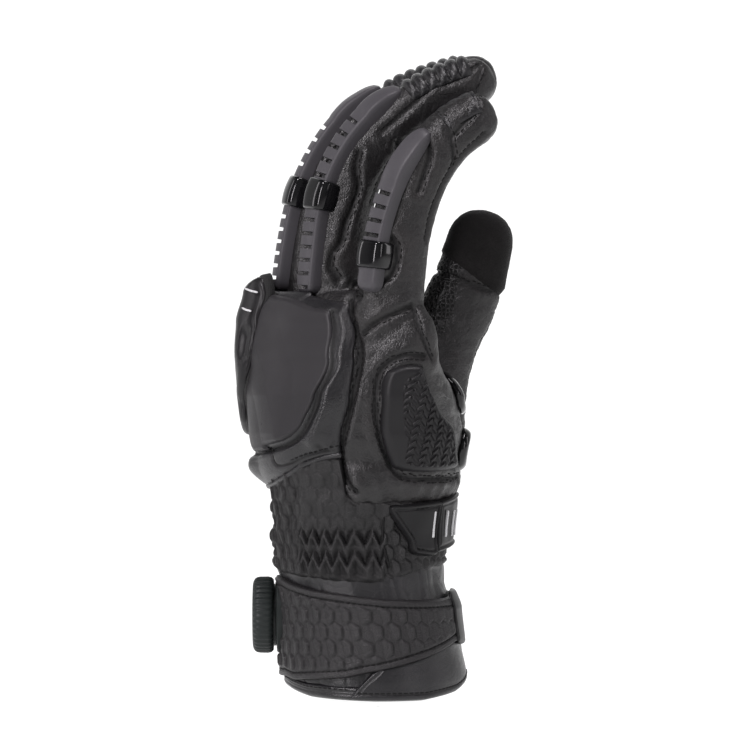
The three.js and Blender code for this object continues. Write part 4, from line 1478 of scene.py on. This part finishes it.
def build_knuckles():
    outline = behind([(-12.5, 142), (-9.5, 131), (-2, 122), (4, 112), (16, 107), (31, 122), (35, 146),
                      (31, 163), (14, 171.5), (-2, 173.5), (-9.5, 172.5), (-12.5, 160)])
    foam = patch("knuckle_foam_pad", outline, 3.5, 7.2, LOOKS["foam"], edge=1.5, around=200, rings=24)
    place_on(foam, "hand", "foam", "knuckle_foam")
    middle = np.mean(outline, axis=0)
    inset = [tuple(np.array(p) + (middle - p) * 0.05) for p in outline]
    shell = patch("knuckle_shell", inset, 6.2, SHELL_TOP, LOOKS["knuckle_plastic"], edge=2.4,
                  relief=shell_relief, around=320, rings=84)
    place_on(shell, "hand", "knuckle_plastic", "knuckle_armour")
    # two plain pinstripes across the little-finger edge
    heights = SHELL_TOP + 2.1 + np.interp(np.linspace(0, 1, STRIPE_POINTS), [0, 0.25, 1], [-1.4, -0.2, 0.3])
    for k, z in enumerate((160.5, 168.0)):
        path = smooth_line(behind([(-10.8, z - 2), (-7, z - 1), (-1, z)]), STRIPE_POINTS)
        stripe = pipe(f"knuckle_stripe_{k + 1}", on_body(path, heights), 0.42, LOOKS["bars"], 8)
        place_on(stripe, "hand", "knuckle_plastic")


build_pad()
build_armour()
build_knuckles()


# ---------------------------------------------------------------- pads on the palm

HEEL_FIELD = smooth_line(
    spots([(11.7, 131.1), (15.3, 134), (18.2, 134), (21.4, 125.3), (25, 117), (29.2, 112), (31, 101.9),
           (30.6, 97), (13.1, 96.5), (11.7, 104.9), (10.2, 114.3), (9.8, 125.3)], 3.4), 200, True)
heel_field_edge = Line(np.vstack([HEEL_FIELD, HEEL_FIELD[:1]]))


def chevrons(places, depth):
    """Herringbone bars in upright columns, in a sunk field towards the palm."""
    w, z = places.T
    column = 6.2
    across = np.abs(((w / column) % 1) - 0.5) * column
    bars = step(np.cos((z + across * 0.95) / 2.9 * 2 * np.pi), -0.2, 0.5)
    joints = step(np.abs(across - column / 4), column / 4 - 0.5, column / 4 - 0.15)
    field = step(heel_field_edge.gap(places), 0, 0.8) * inside(HEEL_FIELD, w, z)
    return field * (0.75 * bars * (1 - joints) - 0.3)


def build_heel_pad():
    outline = spots([(18.2, 136.9), (11.7, 136.9), (4.6, 135.1), (2.2, 131.6), (1.5, 125), (1.4, 117),
                     (2.2, 107.8), (5.1, 99), (9, 94.6), (20.4, 93.4), (30.6, 94.6), (32.6, 97.5),
                     (32.2, 106), (30.6, 113), (26.2, 118.5), (22.6, 126.7), (20.2, 134)], 3)
    pad = patch("heel_slider_pad", outline, -0.6, 3.6, LOOKS["rubber_pad"], edge=3.0, relief=chevrons,
                around=420, rings=100)
    place_on(pad, "hand", "rubber_pad", "heel_slider")


def oval(w, z, half_w, half_z, count):
    """(w, z) places round an oval."""
    return [(w + half_w * math.cos(turn), z + half_z * math.sin(turn))
            for turn in np.linspace(0, 2 * np.pi, count, endpoint=False)]


def build_sliders():
    for node, z in (("palm_slider_lower", 103), ("palm_slider_upper", 126)):
        outline = oval(before([(0, z)])[0][0], z, 9, 9, 24)
        slider = patch(f"{node}_cap", outline, 0, 3.6, LOOKS["gloss_plastic"], edge=3.2, around=96, rings=30)
        place_on(slider, "hand", "gloss_plastic", node)


build_heel_pad()
build_sliders()


# ---------------------------------------------------------------- spines, clips and ribs of the fingers

SPINE_HALF = {"index": 5.4, "middle": 5.4, "ring": 5.3, "little": 4.9}
SPINE_TALL = 4.4
SLOT = 1.35
SPINES = {  # heights z: the root end, the first slot, the last slot; then the slots' pitch along the finger
    "index": (164, 169, 222, 4.7),
    "middle": (165, 171, 226, 4.7),
    "ring": (164, 167, 228, 5.2),
    "little": (164.5, 186, 203, 5.2),
}

# section of a spine: (across, up) in shares of its half breadth and height
SPINE_SHOULDER = [(1, -0.2), (1, 0.5), (0.96, 0.78), (0.86, 0.94)]
SPINE_CROWN = [(0.7, 1.0), (0.4, 1.04), (0.05, 1.06), (-0.15, 1.06), (-0.28, 1.05), (-0.4, 1.04),
               (-0.52, 1.03), (-0.62, 1.02), (-0.74, 0.99)]
SPINE_SECTION = SPINE_SHOULDER + SPINE_CROWN + [(-across, up) for across, up in reversed(SPINE_SHOULDER)]


def spine_ring(tube, share, roll, half, tall, cut):
    """One section of a spine. A cut one is low on its far side, where a slot opens it, and keeps its rail."""
    ring = []
    for across, up in SPINE_SECTION:
        if cut:
            up = min(up, 0.94 * max(0.0, (-0.28 - across) / 0.34))
        ring.append(tube.point(share, roll, up * tall, across * half))
    return np.array(ring)


def spine_stations(start, end, slots):
    """(position, cut) pairs along a spine, in mm, with a crisp pair at both sides of each slot."""
    plain = [(p, False) for p in np.arange(start, end, 1.2)] + [(end, False)]
    plain = [(p, c) for p, c in plain if all(abs(p - s) > SLOT / 2 + 0.2 for s in slots)]
    half = SLOT / 2
    for s in slots:
        plain += [(s - half - 0.1, False), (s - half, True), (s + half, True), (s + half + 0.1, False)]
    return sorted(plain)


def build_spine(name):
    finger, tube = FINGERS[name], tubes[name]
    root, first, last, pitch = SPINES[name]
    along = lambda z: tube.at_height(z) * tube.length
    clip, tip = along(finger["clip"]), along(finger["spine_end"]) + (-3 if name == "little" else 2)
    slots = [s for s in np.arange(along(first), along(last) + 0.1, pitch) if abs(s - clip) > 5.6]
    for part, low, high, bend, fading in (
        ("lower", along(root), clip, lower_bends[name], 4),
        ("upper", clip, tip, upper_bends[name], 13),
    ):
        rings = []
        for position, cut in spine_stations(low, high, [s for s in slots if low + 1 < s < high - 1]):
            fade = rounded(high - position if part == "upper" else position - low, fading)
            tall = SPINE_TALL * (0.15 + 0.85 * fade)
            if part == "upper" and position > along(last) + 2:
                tall *= 1 + 0.12 * math.sin(math.pi * min(1, (position - along(last)) / 14))
            half = SPINE_HALF[name] * (0.35 + 0.65 * fade)
            rings.append(spine_ring(tube, position / tube.length, finger["roll"], half, tall, cut))
        piece = ring_piece(f"{name}_spine_{part}_bar", rings, LOOKS["spine"], sharp=38)
        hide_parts(f"{name}_spine_{part}")
        bend.apply(piece)


CLIP_HALF_LENGTH = 5.2


def build_clip(name):
    """The gloss band that holds the spine down, a little barrel-shaped along the finger."""
    finger, tube = FINGERS[name], tubes[name]
    clip = tube.at_height(finger["clip"]) * tube.length
    rings = []
    for offset in np.r_[-5.2, -5.05, -4.7, np.linspace(-4, 4, 9), 4.7, 5.05, 5.2]:
        end = rounded(CLIP_HALF_LENGTH - abs(offset), 0.7)
        barrel = 1 + 0.08 * math.cos(offset / CLIP_HALF_LENGTH * math.pi / 2)
        half = (SPINE_HALF[name] + 0.5 + 0.8 * end) * barrel
        tall = (SPINE_TALL + 0.3 + 1.2 * end) * barrel
        ring = []
        for turn in np.linspace(-0.08, 1.08, 33) * math.pi:
            across = signed_power(math.cos(turn), 0.55) * half
            up = signed_power(math.sin(turn), 0.62) * tall
            ring.append(tube.point((clip + offset) / tube.length, finger["roll"], up, across))
        rings.append(np.array(ring))
    piece = ring_piece(f"{name}_guide_band", rings, LOOKS["gloss_plastic"], sharp=50)
    place_on(piece, f"{name}_prox", "gloss_plastic", f"{name}_guide_clip")


RIB_PITCH = 4.3


def build_ribs(name):
    """Padded leather lobes across the back of the fingertip."""
    finger, tube = FINGERS[name], tubes[name]
    start = tube.at_height(finger["spine_end"]) * tube.length + 3
    end = min(0.955 * tube.length, start + (7 if name == "middle" else 6) * RIB_PITCH)
    puff = 0.5 if name == "little" else 1.8
    rolls = np.linspace(-52, 66, 44) + finger["roll"] * 0.4
    across = np.linspace(-1, 1, 44)
    rings = []
    for position in np.arange(start, end, 0.25):
        share = position / tube.length
        lobe = abs(math.sin(math.pi * (position - start) / RIB_PITCH)) ** 0.45
        fade = rounded(min(position - start, end - position), 2.5)
        lift = (0.5 + puff * lobe * fade) * (1 - np.abs(across) ** 9) - 0.5
        top = [tube.point(share, roll, up) for roll, up in zip(rolls, lift)]
        under = [tube.point(share, roll, -2.0) for roll in (55, 20, -20, -55)]
        rings.append(np.array(top + under))
    piece = ring_piece(f"{name}_rib_leather", rings, LOOKS["smooth_leather"])
    place_on(piece, f"{name}_dist", "leather", f"{name}_stretch_ribs")


for finger_name in FINGERS:
    build_spine(finger_name)
    build_clip(finger_name)
    build_ribs(finger_name)


# ---------------------------------------------------------------- thumb cap

TIP_BALL = 12  # the length over which the thumb's tip rounds off


def build_thumb_cap():
    """Suede over the thumb's tip, with a slanting edge."""
    tube = tubes["thumb"]
    rings = []
    for part in np.linspace(0, 1, 34):
        ring = []
        for roll in range(0, 360, 6):
            edge = tube.at_height(175 + 4.5 * math.cos(math.radians(roll)))
            share = edge + (1 - edge) * math.sin(part * math.pi / 2)
            centre = tube.frame(share)[0]
            ball = max(0.0, share - (1 - TIP_BALL / tube.length)) * tube.length / TIP_BALL
            fall = math.sqrt(max(0.0, 1 - ball ** 2.2))
            ring.append(centre + (tube.point(share, roll) - centre) * max(fall, 0.02))
        rings.append(onto_skin(ring, 0.05 + 0.75 * rounded(part * 30, 1.2)))
    points, faces = close_rings(rings)
    foot_cover = faces[-2]
    faces.remove(foot_cover)
    piece = solid_piece("thumb_cap_suede", points, faces, LOOKS["suede"])
    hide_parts("thumb_tip_cap")
    upper_bends["thumb"].apply(piece)


build_thumb_cap()


# ---------------------------------------------------------------- reel, lace and lining

FLUTED_FROM = 13.5  # the dial's grip flutes are cut outside this radius


def turned(name, profile, flutes=0, flute_depth=0.0, segments=180):
    """A lathe shape about the reel's axis, through (radius, design x) pairs from the axis to the axis."""
    turn = 2 * np.pi * np.arange(segments) / segments
    rings = []
    for radius, x in profile:
        reach = radius - (flute_depth * (0.5 - 0.5 * np.cos(turn * flutes)) if radius > FLUTED_FROM else 0)
        y, z = reach * np.cos(turn), REEL_Z + reach * np.sin(turn)
        rings.append(np.stack([np.full(segments, x), y, z], -1))
    return ring_piece(name, rings, LOOKS["reel_plastic"], sharp=42)


def build_reel():
    low, high = (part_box("reel_dial")[i].x / MM - SHIFT[0] for i in (1, 0))
    profile = [(0.2, high + 0.9), (4, high + 0.8), (9, high + 0.35), (11.6, high + 0.05), (12.6, high),
               (13.6, high + 0.25), (14.6, high + 0.9), (15.15, high + 1.8), (15.35, high + 3),
               (15.4, low - 2.2), (15.1, low - 0.9), (14.3, low - 0.1), (13.2, low), (13.1, low - 1.5),
               (0.2, low - 1.6)]
    place_on(turned("reel_dial_cap", profile, 40, 0.42, 400), "dial", "reel_plastic", "reel_dial")
    place_on(dial_ticks(high), "dial", "reel_plastic")
    profile = [(3, -36), (15.2, -36.5), (15.2, -40.1), (14.7, FLANGE_X), (3, FLANGE_X)]
    place_on(turned("reel_flange_ring", profile), "hand", "reel_plastic", "reel_flange")


def dial_ticks(face):
    """Plain raised ticks round the dial's face."""
    rods = []
    for k in range(12):
        turn = 2 * math.pi * k / 12
        out = np.array([0, math.cos(turn), math.sin(turn)])
        centre = np.array([face + 0.35, 0, REEL_Z]) + out * 8.6
        rods.append((centre, out, np.array([-1.0, 0, 0]), 3.2, 0.4))
    return capsules("reel_dial_ticks", rods, LOOKS["reel_plastic"])


def build_lace():
    """The fine cable from the reel round its guide and back. Most of it runs inside the strap."""
    # upper half of the loop: (distance from the reel's axis, height over it, height over the skin)
    half = [(15.6, 4.0, 1.3), (17.4, 4.2, 1.4), (20, 4.4, 1.6), (23, 4.5, 1.6), (26, 4.4, 1.6),
            (29, 3.7, 1.6), (31, 2.1, 1.6)]
    loop = half + [(31.6, 0, 1.6)] + [(y, -z, lift) for y, z, lift in reversed(half)]
    path = []
    for y, rise, lift in loop:
        angle, z = back(-y, REEL_Z + rise)
        path.append(body_point(np.array([angle]), z, lift)[0])
    place_on(pipe("lace_cable", smooth_line(path, 120), 0.5, LOOKS["steel"]), "hand", "steel_cable", "lace")
    outline = oval(*behind([(-26, REEL_Z)])[0], 4.3, 3.9, 20)
    guide = patch("lace_guide_cover", outline, 0.5, 2.3, LOOKS["plate_plastic"], edge=1.0, around=72,
                  rings=18)
    place_on(guide, "hand", "reel_plastic", "lace_guide")


LINING_TOP = 146


def build_lining():
    """The sock inside, open at the cuff."""
    angles = np.arange(0, 360, 3)
    foot = np.array([rim_foot(a) for a in angles]) + 2
    heights = [foot + (LINING_TOP - foot) * share for share in np.linspace(0, 1, 62)]
    outer = [body_point(angles, z, -3.3) for z in heights]
    inner = [body_point(angles, z, -4.6) for z in reversed(heights)]
    lining = ring_piece("hand_lining", outer + inner, LOOKS["lining"], looped=True)
    place_on(lining, "hand", "lining", "cuff_lining")


build_reel()
build_lace()
build_lining()
for node in ("reel_housing", "reel_spool", "reel_clutch"):
    frame["nodes"][node].data.materials.clear()
    frame["nodes"][node].data.materials.append(LOOKS["reel_plastic"])


# ---------------------------------------------------------------- stage, lights and camera

def stage_material():
    """White paper that glows behind the glove, and less towards the sides and the camera."""
    m = Nodes("stage", (0.25, 0.25, 0.25), 0.9)
    m.set("Specular IOR Level", 0.0)
    m.set("Emission Color", (1, 1, 1, 1))
    place = m.add("ShaderNodeSeparateXYZ", Vector=m.place).outputs
    behind_glove = m.ramp(place["Y"], -1.3, -0.2, 0.15, 1.0)
    aside = m.ramp(m.math("ABSOLUTE", place["X"], 0.0), 0.9, 2.0, 1.0, 0.3)
    m.set("Emission Strength", m.math("MULTIPLY", behind_glove, aside))
    return m.material


def build_stage():
    """A pale floor that curves up into a round wall, with room inside for the lights."""
    radius, bend, height, columns = 4600, 1400, 5200, 96
    quarter = np.linspace(0, math.pi / 2, 13)
    curve = [(radius - bend + bend * math.sin(turn), bend * (1 - math.cos(turn))) for turn in quarter]
    profile = [(0.5, 0)] + curve + [(radius, height)]
    angles = np.linspace(0, 2 * np.pi, columns, endpoint=False)
    points = [(r * math.cos(a), r * math.sin(a), z - 0.4) for r, z in profile for a in angles]
    make_mesh("stage", points, grid_faces(len(profile), columns), stage_material())


LIGHT_TINT = (1.0, 0.955, 0.99)
LIGHTS = (  # name, place in metres, width, height, power
    ("key", (-1.2, -1.7, 1.9), 0.45, 0.45, 38),
    ("top", (0.2, -0.3, 2.3), 0.8, 0.8, 26),
    ("fill", (1.7, -1.9, 0.7), 0.7, 0.7, 2),
    ("left_strip", (-1.3, -1.7, 0.55), 0.22, 1.2, 18),
    ("right_strip", (1.5, -1.3, 0.55), 0.1, 1.2, 5),
    ("left_edge", (-1.9, 0.2, 0.6), 0.3, 1.5, 6),
    ("right_edge", (1.9, 0.2, 0.8), 0.3, 1.5, 4),
)
LIT = Vector((0, 0, 0.13))  # the place that every light faces


def build_lights():
    """Soft rectangular lights that the camera doesn't see, and a faint even light from all round."""
    for name, place, width, height, power in LIGHTS:
        data = bpy.data.lights.new(name, "AREA")
        data.shape = "RECTANGLE"
        data.size, data.size_y = width, height
        data.energy = power
        data.color = LIGHT_TINT
        light = bpy.data.objects.new(name, data)
        light.location = place
        light.rotation_euler = (LIT - Vector(place)).to_track_quat("-Z", "Y").to_euler()
        light.visible_camera = False
        bpy.context.scene.collection.objects.link(light)
    world = bpy.data.worlds.new("studio")
    world.use_nodes = True
    background = world.node_tree.nodes["Background"]
    background.inputs["Color"].default_value = (1, 1, 1, 1)
    background.inputs["Strength"].default_value = 0.03
    bpy.context.scene.world = world


def build_camera():
    bpy.context.scene.view_settings.view_transform = "Standard"
    data = bpy.data.cameras.new("camera")
    data.sensor_width = 36
    data.lens = 190.7
    data.clip_start, data.clip_end = 0.05, 60
    camera = bpy.data.objects.new("camera", data)
    camera.location = to_frame(EYE)[0]
    camera.rotation_euler = (math.radians(90), 0, 0)
    bpy.context.scene.collection.objects.link(camera)
    bpy.context.scene.camera = camera


build_stage()
build_lights()
build_camera()
